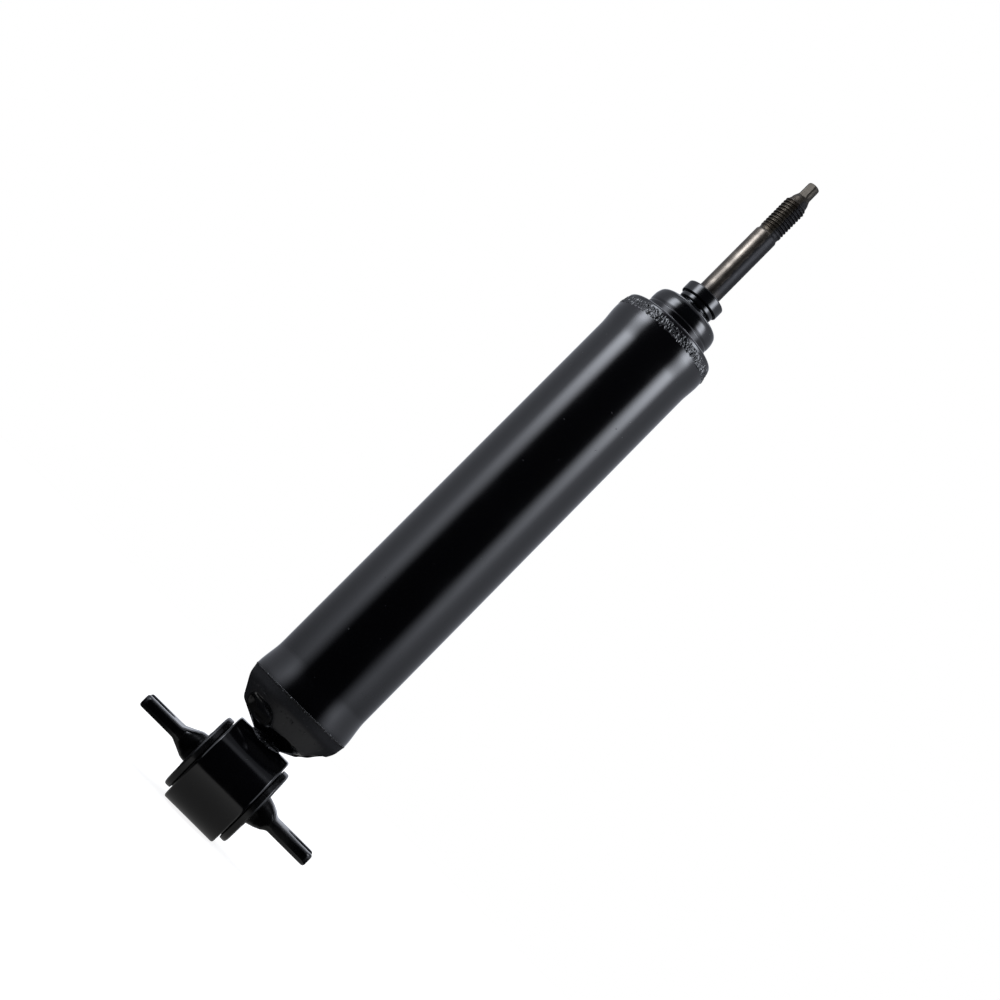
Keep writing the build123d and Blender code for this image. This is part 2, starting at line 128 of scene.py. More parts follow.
# A smooth curve through a table of (at, value) rows
def curveAt(table, at):
    if at <= table[0][0]:
        return table[0][1]
    if at >= table[-1][0]:
        return table[-1][1]
    slopes = [(b[1] - a[1]) / (b[0] - a[0]) for a, b in zip(table, table[1:])]
    ends = [slopes[0]]
    for a, b in zip(slopes, slopes[1:]):
        ends.append(0 if a * b <= 0 else 2 * a * b / (a + b))
    ends.append(slopes[-1])
    i = max(k for k in range(len(table) - 1) if table[k][0] <= at)
    width = table[i + 1][0] - table[i][0]
    u = (at - table[i][0]) / width
    rise = table[i + 1][1] - table[i][1]
    return (table[i][1] + rise * u * u * (3 - 2 * u) + width * ends[i] * u * (1 - u) ** 2
            - width * ends[i + 1] * u * u * (1 - u))


# A gentle S from one radius to another, for the drawn ends of the tube
def easedRun(low, high, steps):
    run = []
    for k in range(1, steps):
        u = k / steps
        run.append((low[0] + (high[0] - low[0]) * u * u * (3 - 2 * u), low[1] + (high[1] - low[1]) * u))
    return run


# Shared effects, each a node group built once with its own named sockets
def newGroup(name, inputs, outputs):
    group = bpy.data.node_groups.new(name, "ShaderNodeTree")
    for socket, value in inputs.items():
        made = group.interface.new_socket(name=socket, in_out="INPUT", socket_type="NodeSocketFloat")
        made.default_value = value
    for socket in outputs:
        group.interface.new_socket(name=socket, in_out="OUTPUT", socket_type="NodeSocketFloat")
    return group, group.nodes.new("NodeGroupInput"), group.nodes.new("NodeGroupOutput")


def mathNode(tree, operation, first, second=None, third=None, clamp=False):
    node = tree.nodes.new("ShaderNodeMath")
    node.operation = operation
    node.use_clamp = clamp
    for i, value in enumerate((first, second, third)):
        if value is None:
            continue
        if isinstance(value, (int, float)):
            node.inputs[i].default_value = value
        else:
            tree.links.new(value, node.inputs[i])
    return node.outputs[0]


def rangeNode(tree, value, low, high, toLow=0.0, toHigh=1.0):
    node = tree.nodes.new("ShaderNodeMapRange")
    node.interpolation_type = "SMOOTHSTEP"
    tree.links.new(value, node.inputs["Value"])
    for socket, number in (("From Min", low), ("From Max", high), ("To Min", toLow), ("To Max", toHigh)):
        if isinstance(number, (int, float)):
            node.inputs[socket].default_value = number
        else:
            tree.links.new(number, node.inputs[socket])
    return node.outputs["Result"]


def objectPoint(tree, stretch=None):
    place = tree.nodes.new("ShaderNodeTexCoord").outputs["Object"]
    if stretch is None:
        return place
    mapping = tree.nodes.new("ShaderNodeMapping")
    mapping.inputs["Scale"].default_value = stretch
    tree.links.new(place, mapping.inputs["Vector"])
    return mapping.outputs["Vector"]


def noiseNode(tree, scale, detail=3.0, roughness=0.5, stretch=None, place=None):
    node = tree.nodes.new("ShaderNodeTexNoise")
    tree.links.new(objectPoint(tree, stretch) if place is None else place, node.inputs["Vector"])
    node.inputs["Detail"].default_value = detail
    node.inputs["Roughness"].default_value = roughness
    if isinstance(scale, (int, float)):
        node.inputs["Scale"].default_value = scale
    else:
        tree.links.new(scale, node.inputs["Scale"])
    return node.outputs["Fac"]


# Sprayed and dipped paint: a fine peel and a slow wave, as a height
def makePaintPeel():
    sockets = {"Peel Scale": 900.0, "Wave Scale": 90.0, "Wave Share": 0.6}
    group, given, result = newGroup("paintPeel", sockets, ("Height",))
    peel = noiseNode(group, given.outputs["Peel Scale"], 2.0, 0.45)
    wave = noiseNode(group, given.outputs["Wave Scale"], 1.0, 0.4)
    summed = mathNode(group, "MULTIPLY_ADD", wave, given.outputs["Wave Share"], peel)
    group.links.new(summed, result.inputs["Height"])
    return group


# Small specks of dust and paint dirt, more where the slow noise is high
def makeSpecks():
    group, given, result = newGroup("specks", {"Scale": 420.0, "Size": 0.16, "Share": 0.35}, ("Mask",))
    cells = group.nodes.new("ShaderNodeTexVoronoi")
    group.links.new(objectPoint(group), cells.inputs["Vector"])
    group.links.new(given.outputs["Scale"], cells.inputs["Scale"])
    pick = group.nodes.new("ShaderNodeSeparateColor")
    group.links.new(cells.outputs["Color"], pick.inputs["Color"])
    size = mathNode(group, "MULTIPLY", given.outputs["Size"], pick.outputs["Green"])
    inside = mathNode(group, "LESS_THAN", cells.outputs["Distance"], size)
    chosen = mathNode(group, "LESS_THAN", pick.outputs["Red"], given.outputs["Share"])
    group.links.new(mathNode(group, "MULTIPLY", inside, chosen), result.inputs["Mask"])
    return group


# Slow uneven patches, from 0 to 1
def makePatches():
    group, given, result = newGroup("patches", {"Scale": 60.0, "Low": 0.35, "High": 0.7}, ("Mask",))
    slow = noiseNode(group, given.outputs["Scale"], 4.0, 0.55)
    mask = rangeNode(group, slow, given.outputs["Low"], given.outputs["High"])
    group.links.new(mask, result.inputs["Mask"])
    return group


# Lines left by turning and drawing: fine rings round the axis and faint streaks along it
def makeToolLines():
    group, given, result = newGroup("toolLines", {"Ring Share": 0.6, "Streak Share": 0.4}, ("Height",))
    rings = noiseNode(group, 1.0, 3.0, 0.6, (300, 300, 6500))
    streaks = noiseNode(group, 1.0, 3.0, 0.6, (2600, 2600, 70))
    ringPart = mathNode(group, "MULTIPLY", rings, given.outputs["Ring Share"])
    summed = mathNode(group, "MULTIPLY_ADD", streaks, given.outputs["Streak Share"], ringPart)
    group.links.new(summed, result.inputs["Height"])
    return group


# Weld spatter and scale: crusty ridges with pits between
def makeCrust():
    group, given, result = newGroup("crust", {"Scale": 1300.0}, ("Height", "Pits"))
    fine = noiseNode(group, given.outputs["Scale"], 5.0, 0.65)
    cells = group.nodes.new("ShaderNodeTexVoronoi")
    cells.feature = "SMOOTH_F1"
    group.links.new(objectPoint(group), cells.inputs["Vector"])
    group.links.new(mathNode(group, "MULTIPLY", given.outputs["Scale"], 0.7), cells.inputs["Scale"])
    height = mathNode(group, "MULTIPLY_ADD", cells.outputs["Distance"], 0.8, fine)
    group.links.new(height, result.inputs["Height"])
    group.links.new(rangeNode(group, fine, 0.36, 0.46, 1.0, 0.0), result.inputs["Pits"])
    return group


paintPeel = makePaintPeel()
specks = makeSpecks()
patches = makePatches()
toolLines = makeToolLines()
crust = makeCrust()
print("shared effects built")


def newMaterial(name, viewColour):
    material = bpy.data.materials.new(name)
    material.use_nodes = True
    material.diffuse_color = (*viewColour, 1)
    return material, material.node_tree, material.node_tree.nodes["Principled BSDF"]


def useGroup(tree, group, output, **values):
    node = tree.nodes.new("ShaderNodeGroup")
    node.node_tree = group
    for socket, value in values.items():
        node.inputs[socket.replace("_", " ")].default_value = value
    return node.outputs[output]


def mixColours(tree, share, first, second):
    node = tree.nodes.new("ShaderNodeMix")
    node.data_type = "RGBA"
    if isinstance(share, (int, float)):
        node.inputs["Factor"].default_value = share
    else:
        tree.links.new(share, node.inputs["Factor"])
    for socket, colour in ((node.inputs[6], first), (node.inputs[7], second)):
        if isinstance(colour, tuple):
            socket.default_value = (*colour, 1)
        else:
            tree.links.new(colour, socket)
    return node.outputs[2]


def addBump(tree, shader, height, distance, strength=1.0, under=None):
    bump = tree.nodes.new("ShaderNodeBump")
    bump.inputs["Strength"].default_value = strength
    bump.inputs["Distance"].default_value = distance
    tree.links.new(height, bump.inputs["Height"])
    if under is not None:
        tree.links.new(under, bump.inputs["Normal"])
    tree.links.new(bump.outputs["Normal"], shader.inputs["Normal"])
    return bump.outputs["Normal"]


# The place on the piece in metres, as its X, Y and Z
def splitPoint(tree):
    place = tree.nodes.new("ShaderNodeSeparateXYZ")
    tree.links.new(objectPoint(tree), place.inputs["Vector"])
    return place.outputs


# A value that the piece's mesh carries at each point
def readLayer(tree, name):
    node = tree.nodes.new("ShaderNodeAttribute")
    node.attribute_name = name
    return node.outputs["Fac"]


# Black enamel with a slight peel, dull patches and a little dust
paintLook = {
    "colour": (0.0016, 0.0016, 0.002),
    "dustColour": (0.012, 0.012, 0.013),
    "dustScale": 520.0,
    "dustSize": 0.2,
    "dustDull": 0.25,
    "patchScale": 45.0,
    "patchLow": 0.42,
    "patchHigh": 0.72,
    "waveScale": 110.0,
}


# Gloss is a roughness and the depth is in metres, here and in the other materials
def makePaint(name, gloss, patchGloss, peelDepth, waveShare=0.6, dustShare=0.12, peelScale=900.0):
    look = paintLook
    material, tree, shader = newMaterial(name, (0.04, 0.04, 0.045))
    dust = useGroup(tree, specks, "Mask", Scale=look["dustScale"], Size=look["dustSize"], Share=dustShare)
    colour = mixColours(tree, dust, look["colour"], look["dustColour"])
    tree.links.new(colour, shader.inputs["Base Color"])
    dull = useGroup(tree, patches, "Mask", Scale=look["patchScale"], Low=look["patchLow"],
                    High=look["patchHigh"])
    rough = rangeNode(tree, dull, 0.0, 1.0, gloss, patchGloss)
    tree.links.new(mathNode(tree, "MULTIPLY_ADD", dust, look["dustDull"], rough), shader.inputs["Roughness"])
    peel = useGroup(tree, paintPeel, "Height", Peel_Scale=peelScale, Wave_Scale=look["waveScale"],
                    Wave_Share=waveShare)
    addBump(tree, shader, peel, peelDepth)
    return material


enamel = makePaint("enamel", gloss=0.15, patchGloss=0.19, peelDepth=0.000003)
forgedEnamel = makePaint("forged_enamel", gloss=0.2, patchGloss=0.34, peelDepth=0.00003, waveShare=1.4,
                         dustShare=0.2, peelScale=420.0)
ringEnamel = makePaint("ring_enamel", gloss=0.12, patchGloss=0.17, peelDepth=0.000006, waveShare=1.0,
                       dustShare=0.1, peelScale=500.0)


# The cup's paint is satin above, with a broken line of pits below the seam; the pits are darkened as painted
# shade.
# It is glossy on the lower bowl and in the dimples, whose colour is taken to near black as painted shade and
# painted dark reflection. Heights and waves are in mm
cupLook = {
    "colour": (0.0135, 0.0135, 0.0145),
    "dust": (0.045, 0.045, 0.047),
    "shadeBlack": (0.0012, 0.0012, 0.0014),
    "pitShade": (0.001, 0.001, 0.001),
    "satin": 0.42,
    "dimpleGloss": 0.12,
    "bowlHeight": 26.9,
    "bowlWave": 5.0,
    "bowlEdge": 0.25,
    "pitHeight": 34.2,
    "pitWave": 2.4,
    "pitBand": 0.9,
    "pitScale": 900.0,
    "pitDepth": 0.0002,
    "peelDepth": 0.000012,
}


def makePits(tree, place):
    look = cupLook
    wander = noiseNode(tree, 220.0, 2.0, 0.5)
    height = mathNode(tree, "MULTIPLY_ADD", wander, -look["pitWave"] * mm, place["Z"])
    middle = (look["pitHeight"] - look["pitWave"] / 2) * mm
    away = mathNode(tree, "ABSOLUTE", mathNode(tree, "SUBTRACT", height, middle))
    line = rangeNode(tree, away, 0.0, look["pitBand"] * mm, 1.0, 0.0)
    broken = rangeNode(tree, noiseNode(tree, 160.0, 1.0, 0.5), 0.42, 0.58)
    pitted = mathNode(tree, "MULTIPLY", line, broken)
    return mathNode(tree, "MULTIPLY", useGroup(tree, crust, "Pits", Scale=look["pitScale"]), pitted)


def makeCupPaint():
    look = cupLook
    material, tree, shader = newMaterial("cup_enamel", (0.05, 0.05, 0.055))
    place = splitPoint(tree)
    pits = makePits(tree, place)
    dust = useGroup(tree, specks, "Mask", Scale=700.0, Size=0.24, Share=0.25)
    dark = mixColours(tree, dust, look["colour"], look["dust"])
    wave = mathNode(tree, "MULTIPLY_ADD", noiseNode(tree, 130.0, 1.0, 0.5), look["bowlWave"] * mm, place["Z"])
    edge = (look["bowlHeight"] + look["bowlWave"] / 2) * mm
    bowl = rangeNode(tree, wave, edge - look["bowlEdge"] * mm, edge + look["bowlEdge"] * mm, 1.0, 0.0)
    pressed = rangeNode(tree, readLayer(tree, "dimple"), 0.1, 0.5)
    share = mathNode(tree, "MAXIMUM", bowl, pressed)
    # painted shade: the lower bowl and the dimples are mixed towards near black
    paintedShadeColour = mixColours(tree, share, dark, look["shadeBlack"])
    # painted shade: the pits are mixed towards near black
    tree.links.new(mixColours(tree, pits, paintedShadeColour, look["pitShade"]), shader.inputs["Base Color"])
    rough = rangeNode(tree, share, 0.0, 1.0, look["satin"], look["dimpleGloss"])
    tree.links.new(rough, shader.inputs["Roughness"])
    peel = useGroup(tree, paintPeel, "Height", Peel_Scale=1500.0, Wave_Scale=240.0, Wave_Share=0.8)
    first = addBump(tree, shader, peel, look["peelDepth"])
    addBump(tree, shader, mathNode(tree, "MULTIPLY", pits, -1.0), look["pitDepth"], 1.0, first)
    return material


cupEnamel = makeCupPaint()


# Painted weld: a crusty surface; its lighter specks are painted glints, colour standing in for light caught
# by the grains
weldLook = {
    "colour": (0.005, 0.005, 0.0055),
    "grainScale": 1500.0,
    "glintSize": 0.4,
    "glintShare": 0.45,
}


def makeWeldPaint(name, crustDepth, roughLow, roughHigh, glintColour):
    look = weldLook
    material, tree, shader = newMaterial(name, (0.05, 0.05, 0.055))
    mask = readLayer(tree, "textured")
    glints = useGroup(tree, specks, "Mask", Scale=look["grainScale"], Size=look["glintSize"],
                      Share=look["glintShare"])
    # painted glints: the specks on the textured weld get a lighter colour
    shown = mathNode(tree, "MULTIPLY", glints, mask)
    tree.links.new(mixColours(tree, shown, look["colour"], glintColour), shader.inputs["Base Color"])
    tree.links.new(rangeNode(tree, mask, 0.0, 1.0, roughLow, roughHigh), shader.inputs["Roughness"])
    height = mathNode(tree, "MULTIPLY", useGroup(tree, crust, "Height", Scale=look["grainScale"]), mask)
    addBump(tree, shader, height, crustDepth)
    return material


# the speck colours below are painted glint colours
beadEnamel = makeWeldPaint("bead_enamel", crustDepth=0.00005, roughLow=0.16, roughHigh=0.2,
                           glintColour=(0.07, 0.07, 0.072))
seamEnamel = makeWeldPaint("seam_enamel", crustDepth=0.00022, roughLow=0.3, roughHigh=0.38,
                           glintColour=(0.3, 0.3, 0.31))


# Moulded black rubber, slightly shiny, with a fine grain
rubberLook = {
    "dust": (0.02, 0.02, 0.02),
    "dustScale": 900.0,
    "patchScale": 160.0,
    "patchDull": 0.12,
    "grainScale": 2600.0,
    "grainDepth": 0.000012,
}


def makeRubber(name, colour, gloss):
    look = rubberLook
    material, tree, shader = newMaterial(name, colour)
    dust = useGroup(tree, specks, "Mask", Scale=look["dustScale"], Size=0.22, Share=0.25)
    tree.links.new(mixColours(tree, dust, colour, look["dust"]), shader.inputs["Base Color"])
    dull = useGroup(tree, patches, "Mask", Scale=look["patchScale"], Low=0.35, High=0.7)
    rough = rangeNode(tree, dull, 0.0, 1.0, gloss, gloss + look["patchDull"])
    tree.links.new(rough, shader.inputs["Roughness"])
    grain = useGroup(tree, paintPeel, "Height", Peel_Scale=look["grainScale"], Wave_Scale=300.0,
                     Wave_Share=0.8)
    addBump(tree, shader, grain, look["grainDepth"])
    return material


bushRubber = makeRubber("bush_rubber_look", colour=(0.0035, 0.0035, 0.0037), gloss=0.22)
sealRubber = makeRubber("seal_rubber_look", colour=(0.012, 0.012, 0.012), gloss=0.5)


# Bare metals with turning lines and a stain
metalLooks = {
    "chrome_rod": {
        "colour": (0.56, 0.57, 0.585), "stain": (0.46, 0.46, 0.46), "gloss": 0.12, "stainShare": 0.25,
        "lineDepth": 0.000002, "ringShare": 0.3, "streakShare": 0.7,
    },
    "bright_steel_look": {
        "colour": (0.45, 0.46, 0.475), "stain": (0.26, 0.26, 0.26), "gloss": 0.3, "stainShare": 0.5,
        "lineDepth": 0.000012,
    },
    "spring_steel_look": {
        "colour": (0.2, 0.205, 0.22), "stain": (0.1, 0.1, 0.1), "gloss": 0.34, "stainShare": 0.6,
        "lineDepth": 0.000008,
    },
    "sintered_iron_look": {
        "colour": (0.16, 0.155, 0.15), "stain": (0.08, 0.078, 0.075), "gloss": 0.55, "stainShare": 0.7,
        "lineDepth": 0.00002, "ringShare": 0.3, "streakShare": 0.3, "patchScale": 900.0,
    },
    "bronze_look": {
        "colour": (0.42, 0.26, 0.1), "stain": (0.25, 0.14, 0.05), "gloss": 0.36, "stainShare": 0.6,
        "lineDepth": 0.000008,
    },
}


# Roughness that follows the turning lines, with a duller part added
def lineGloss(tree, lines, gloss, part, dullness):
    rough = rangeNode(tree, lines, 0.3, 0.7, gloss - 0.06, gloss + 0.08)
    return mathNode(tree, "MULTIPLY_ADD", part, dullness, rough)


def makeMetal(name, stainDull=0.15):
    look = {"ringShare": 0.6, "streakShare": 0.4, "patchScale": 140.0, **metalLooks[name]}
    material, tree, shader = newMaterial(name, look["colour"])
    shader.inputs["Metallic"].default_value = 1.0
    patch = useGroup(tree, patches, "Mask", Scale=look["patchScale"], Low=0.38, High=0.68)
    share = mathNode(tree, "MULTIPLY", patch, look["stainShare"])
    tree.links.new(mixColours(tree, share, look["colour"], look["stain"]), shader.inputs["Base Color"])
    lines = useGroup(tree, toolLines, "Height", Ring_Share=look["ringShare"],
                     Streak_Share=look["streakShare"])
    tree.links.new(lineGloss(tree, lines, look["gloss"], share, stainDull), shader.inputs["Roughness"])
    addBump(tree, shader, lines, look["lineDepth"])
    return material


chromeRod = makeMetal("chrome_rod")
brightSteel = makeMetal("bright_steel_look")
springSteel = makeMetal("spring_steel_look")
sinteredIron = makeMetal("sintered_iron_look")
bronze = makeMetal("bronze_look")


# The stud's steel is darker and a little duller on its right side as painted shade, stained near the collar
# and dark at its tip.
# Edges, heights and wander are in mm
studLook = {
    # the colour of the painted shade on the stud's right side
    "dark": (0.02, 0.02, 0.021),
    "shadeEdge": (0.3, 1.1),
    "shadeWander": 2.0,
    "shadeDull": 0.12,
    "tip": (0.04, 0.036, 0.03),
    "tipStart": (325.9, 327.3),
    "tipShare": 0.8,
    "stain": (0.03, 0.027, 0.025),
    "stainTop": (272.5, 276.5),
    "stainWander": 6.0,
    "stainShare": 0.75,
}


def makeStudMetal(name, colour, patchColour, gloss, lineDepth):
    look = studLook
    material, tree, shader = newMaterial(name, colour)
    shader.inputs["Metallic"].default_value = 1.0
    place = splitPoint(tree)
    patch = useGroup(tree, patches, "Mask", Scale=140.0, Low=0.38, High=0.68)
    wander = mathNode(tree, "SUBTRACT", noiseNode(tree, 260.0, 3.0, 0.6), 0.5)
    across = mathNode(tree, "MULTIPLY_ADD", wander, look["shadeWander"] * mm, place["X"])
    # painted shade: this mask darkens the stud's right side
    side = rangeNode(tree, across, look["shadeEdge"][0] * mm, look["shadeEdge"][1] * mm)
    height = mathNode(tree, "MULTIPLY_ADD", wander, look["stainWander"] * mm, place["Z"])
    stainLow, stainHigh = look["stainTop"]
    low = rangeNode(tree, height, stainLow * mm, stainHigh * mm, look["stainShare"], 0.0)
    tipLow, tipHigh = look["tipStart"]
    high = rangeNode(tree, place["Z"], tipLow * mm, tipHigh * mm, 0.0, look["tipShare"])
    clean = mixColours(tree, patch, colour, patchColour)
    shaded = mixColours(tree, side, clean, look["dark"])
    stained = mixColours(tree, low, shaded, look["stain"])
    tree.links.new(mixColours(tree, high, stained, look["tip"]), shader.inputs["Base Color"])
    lines = useGroup(tree, toolLines, "Height", Ring_Share=0.35, Streak_Share=0.65)
    tree.links.new(lineGloss(tree, lines, gloss, side, look["shadeDull"]), shader.inputs["Roughness"])
    addBump(tree, shader, lines, lineDepth)
    return material


studSteel = makeStudMetal("stud_steel", colour=(0.185, 0.162, 0.135), patchColour=(0.1, 0.088, 0.074),
                          gloss=0.35, lineDepth=0.00001)
threadSteel = makeStudMetal("thread_steel", colour=(0.1, 0.088, 0.07), patchColour=(0.045, 0.037, 0.028),
                            gloss=0.42, lineDepth=0.000012)


# Green sliding plastic with brown flecks
plasticLook = {
    "colour": (0.024, 0.068, 0.048),
    "fleck": (0.06, 0.045, 0.02),
    "gloss": 0.45,
    "patchGloss": 0.6,
    "grainDepth": 0.00001,
}


def makePlastic():
    look = plasticLook
    material, tree, shader = newMaterial("band_plastic_look", look["colour"])
    flecks = useGroup(tree, specks, "Mask", Scale=1800.0, Size=0.3, Share=0.5)
    tree.links.new(mixColours(tree, flecks, look["colour"], look["fleck"]), shader.inputs["Base Color"])
    dull = useGroup(tree, patches, "Mask", Scale=300.0)
    rough = rangeNode(tree, dull, 0.0, 1.0, look["gloss"], look["patchGloss"])
    tree.links.new(rough, shader.inputs["Roughness"])
    addBump(tree, shader, useGroup(tree, paintPeel, "Height"), look["grainDepth"])
    return material


bandPlastic = makePlastic()
print("materials built")

# Camera at the photograph's angle, rolled so that the absorber lies from lower left to upper right
cameraLook = {
    "lens": 70.2,
    "sensor": 36,
    "nearest": 0.01,
    "distance": 0.774,
    "tilt": 7.0,
    "aimHeight": 0.15235,
    "right": (0.7096, 0.7046),  # how much of level and of upright the picture's right holds
    "framing": (-0.0008, 0.0008),
}


def makeCamera():
    look = cameraLook
    tilt = math.radians(look["tilt"])
    forward = Vector((0, math.cos(tilt), math.sin(tilt)))
    upright = Vector((0, -math.sin(tilt), math.cos(tilt)))
    level = Vector((1, 0, 0))
    right = (level * look["right"][0] + upright * look["right"][1]).normalized()
    above = right.cross(forward)
    camera = bpy.data.cameras.new("camera")
    camera.lens = look["lens"]
    camera.sensor_width = look["sensor"]
    camera.clip_start = look["nearest"]
    cameraObject = bpy.data.objects.new("camera", camera)
    spot = Vector((0, 0, look["aimHeight"])) - forward * look["distance"]
    spot += right * look["framing"][0] + above * look["framing"][1]
    axes = Matrix((right, above, -forward)).transposed().to_4x4()
    cameraObject.matrix_world = Matrix.Translation(spot) @ axes
    bpy.context.scene.collection.objects.link(cameraObject)
    bpy.context.scene.camera = cameraObject


makeCamera()
bpy.context.scene.view_settings.view_transform = "Standard"
print("camera set")


# Strength over a value, from a table of (value, strength).
# A colour ramp holds up to 1, so the largest strength scales it
def strengthTable(tree, value, table):
    low, high = table[0][0], table[-1][0]
    largest = max(row[1] for row in table)
    ramp = tree.nodes.new("ShaderNodeValToRGB")
    stops = ramp.color_ramp.elements
    while len(stops) < len(table):
        stops.new(0.5)
    for stop, (at, strength) in zip(stops, table):
        share = strength / largest
        stop.position = (at - low) / (high - low)
        stop.color = (share, share, share, 1)
    scaled = rangeNode(tree, value, low, high)
    scaled.node.interpolation_type = "LINEAR"
    tree.links.new(scaled, ramp.inputs["Fac"])
    return mathNode(tree, "MULTIPLY", ramp.outputs["Color"], largest)


# 1 for what the camera sees straight or through something clear, and 0 for mirrored and scattered light
def seenDirectly(tree, paths):
    straight = paths.outputs["Is Camera Ray"]
    return mathNode(tree, "ADD", straight, paths.outputs["Is Transmission Ray"], clamp=True)


# Two soft boxes close to the absorber that brighten with height and fade to their sides, and a lamp
# high behind. The tables are (height or distance from the middle, strength); lengths are in metres
lightLook = {
    "boxAngle": 58.5,
    "boxDistance": 0.3,
    "boxWide": 0.22,
    "boxLow": 0.08,
    "boxTall": 0.42,
    "boxStrength": 7.3,
    "boxRise": ((0.08, 0.0), (0.096, 0.014), (0.13, 0.055), (0.167, 0.085), (0.192, 0.14), (0.217, 0.21),
                (0.242, 0.37), (0.26, 0.52), (0.278, 0.7), (0.303, 1.0), (0.46, 1.0), (0.5, 0.0)),
    "boxFade": ((0.0, 1.0), (0.03, 0.9), (0.05, 0.62), (0.08, 0.25), (0.1, 0.06), (0.11, 0.0)),
    "topPlace": (0, 0.5, 1.1),
    "topAim": (0, 0, 0.15),
    "topSize": (0.8, 0.3),
    "topPower": 1.6,
    "tint": (0.94, 0.985, 1.08),
}


def addLight(name, place, aim, wide, tall, power):
    lamp = bpy.data.lights.new(name, "AREA")
    lamp.shape = "RECTANGLE"
    lamp.size = wide
    lamp.size_y = tall
    lamp.energy = power
    lamp.color = lightLook["tint"]
    holder = bpy.data.objects.new(name, lamp)
    holder.visible_camera = False
    out = (Vector(place) - Vector(aim)).normalized()
    sideways = Vector((0, 0, 1)).cross(out)
    if sideways.length < 0.01:
        sideways = Vector((1, 0, 0))
    sideways.normalize()
    turned = Matrix((sideways, out.cross(sideways), out)).transposed().to_4x4()
    holder.matrix_world = Matrix.Translation(place) @ turned
    bpy.context.scene.collection.objects.link(holder)
    return lamp


def addSoftBox(name, side):
    look = lightLook
    angle = math.radians(look["boxAngle"])
    middle = look["boxLow"] + look["boxTall"] / 2
    place = (side * look["boxDistance"] * math.sin(angle), -look["boxDistance"] * math.cos(angle), middle)
    power = 4 * look["boxWide"] * look["boxTall"] * look["boxStrength"]
    lamp = addLight(name, place, (0, 0, middle), look["boxWide"], look["boxTall"], power)
    lamp.use_nodes = True
    tree = lamp.node_tree
    face = tree.nodes.new("ShaderNodeSeparateXYZ")
    tree.links.new(tree.nodes.new("ShaderNodeNewGeometry").outputs["Parametric"], face.inputs["Vector"])
    height = mathNode(tree, "MULTIPLY_ADD", face.outputs["Y"], look["boxTall"], look["boxLow"])
    off = mathNode(tree, "ABSOLUTE", mathNode(tree, "SUBTRACT", face.outputs["X"], 0.5))
    away = mathNode(tree, "MULTIPLY", off, look["boxWide"])
    strength = mathNode(tree, "MULTIPLY", strengthTable(tree, height, look["boxRise"]),
                        strengthTable(tree, away, look["boxFade"]))
    tree.links.new(strength, tree.nodes["Emission"].inputs["Strength"])


addSoftBox("left_box", -1)
addSoftBox("right_box", 1)
addLight("top_box", lightLook["topPlace"], lightLook["topAim"], *lightLook["topSize"], lightLook["topPower"])

# The world is white to the camera; the object sees pale walls with a dark gap in front.
# The wall is (degrees from the front, strength).
# Its rise and the ceiling band are (degrees above the ground, strength)
worldLook = {
    "wall": ((0, 0.0), (38, 0.0), (42, 0.1), (48, 0.42), (57, 1.0), (66, 1.4), (77, 1.15), (89, 0.82),
             (101, 0.62), (115, 0.5), (135, 0.42), (160, 0.42), (168, 0.85), (180, 0.85)),
    "rise": ((-30, 0.3), (-8, 0.55), (0, 0.8), (4, 1.0), (90, 1.0)),
    "band": ((-30, 0.0), (56, 0.0), (58, 0.5), (63, 0.5), (68, 0.2), (90, 0.2)),
    "tint": (0.94, 0.985, 1.11),
}


def makeWorld():
    world = bpy.data.worlds.new("studio")
    bpy.context.scene.world = world
    world.use_nodes = True
    tree = world.node_tree
    tree.nodes.clear()
    split = tree.nodes.new("ShaderNodeSeparateXYZ")
    tree.links.new(tree.nodes.new("ShaderNodeTexCoord").outputs["Generated"], split.inputs["Vector"])
    ahead = mathNode(tree, "MULTIPLY", split.outputs["Y"], -1.0)
    turn = mathNode(tree, "ARCTAN2", split.outputs["X"], ahead)
    around = mathNode(tree, "DEGREES", mathNode(tree, "ABSOLUTE", turn))
    height = mathNode(tree, "DEGREES", mathNode(tree, "ARCSINE", split.outputs["Z"]))
    wall = mathNode(tree, "MULTIPLY", strengthTable(tree, around, worldLook["wall"]),
                    strengthTable(tree, height, worldLook["rise"]))
    seen = mathNode(tree, "MAXIMUM", wall, strengthTable(tree, height, worldLook["band"]))
    studio = tree.nodes.new("ShaderNodeBackground")
    studio.inputs["Color"].default_value = (*worldLook["tint"], 1)
    tree.links.new(seen, studio.inputs["Strength"])
    white = tree.nodes.new("ShaderNodeBackground")
    white.inputs["Color"].default_value = (1, 1, 1, 1)
    paths = tree.nodes.new("ShaderNodeLightPath")
    mix = tree.nodes.new("ShaderNodeMixShader")
    tree.links.new(seenDirectly(tree, paths), mix.inputs["Fac"])
    tree.links.new(studio.outputs[0], mix.inputs[1])
    tree.links.new(white.outputs[0], mix.inputs[2])
    output = tree.nodes.new("ShaderNodeOutputWorld")
    tree.links.new(mix.outputs[0], output.inputs["Surface"])


makeWorld()

# White floor under the eye ring: it keeps the soft shadow near the ring and fades into plain white.
# What the absorber mirrors of it is (distance from the middle in metres, strength), less on the left
floorLook = {
    "height": -21.12,
    "radius": 1600.0,
    "shadowRadius": 0.1,
    "fadeOut": 2.2,
    "glow": 0.88,
    "chalk": 0.28,
    "mirrored": ((0.0, 0.2), (0.025, 0.22), (0.04, 0.33), (0.065, 0.5), (0.084, 0.52), (0.092, 0.0)),
    "leftShare": 0.12,
    "leftEdge": (-0.034, -0.024),
}


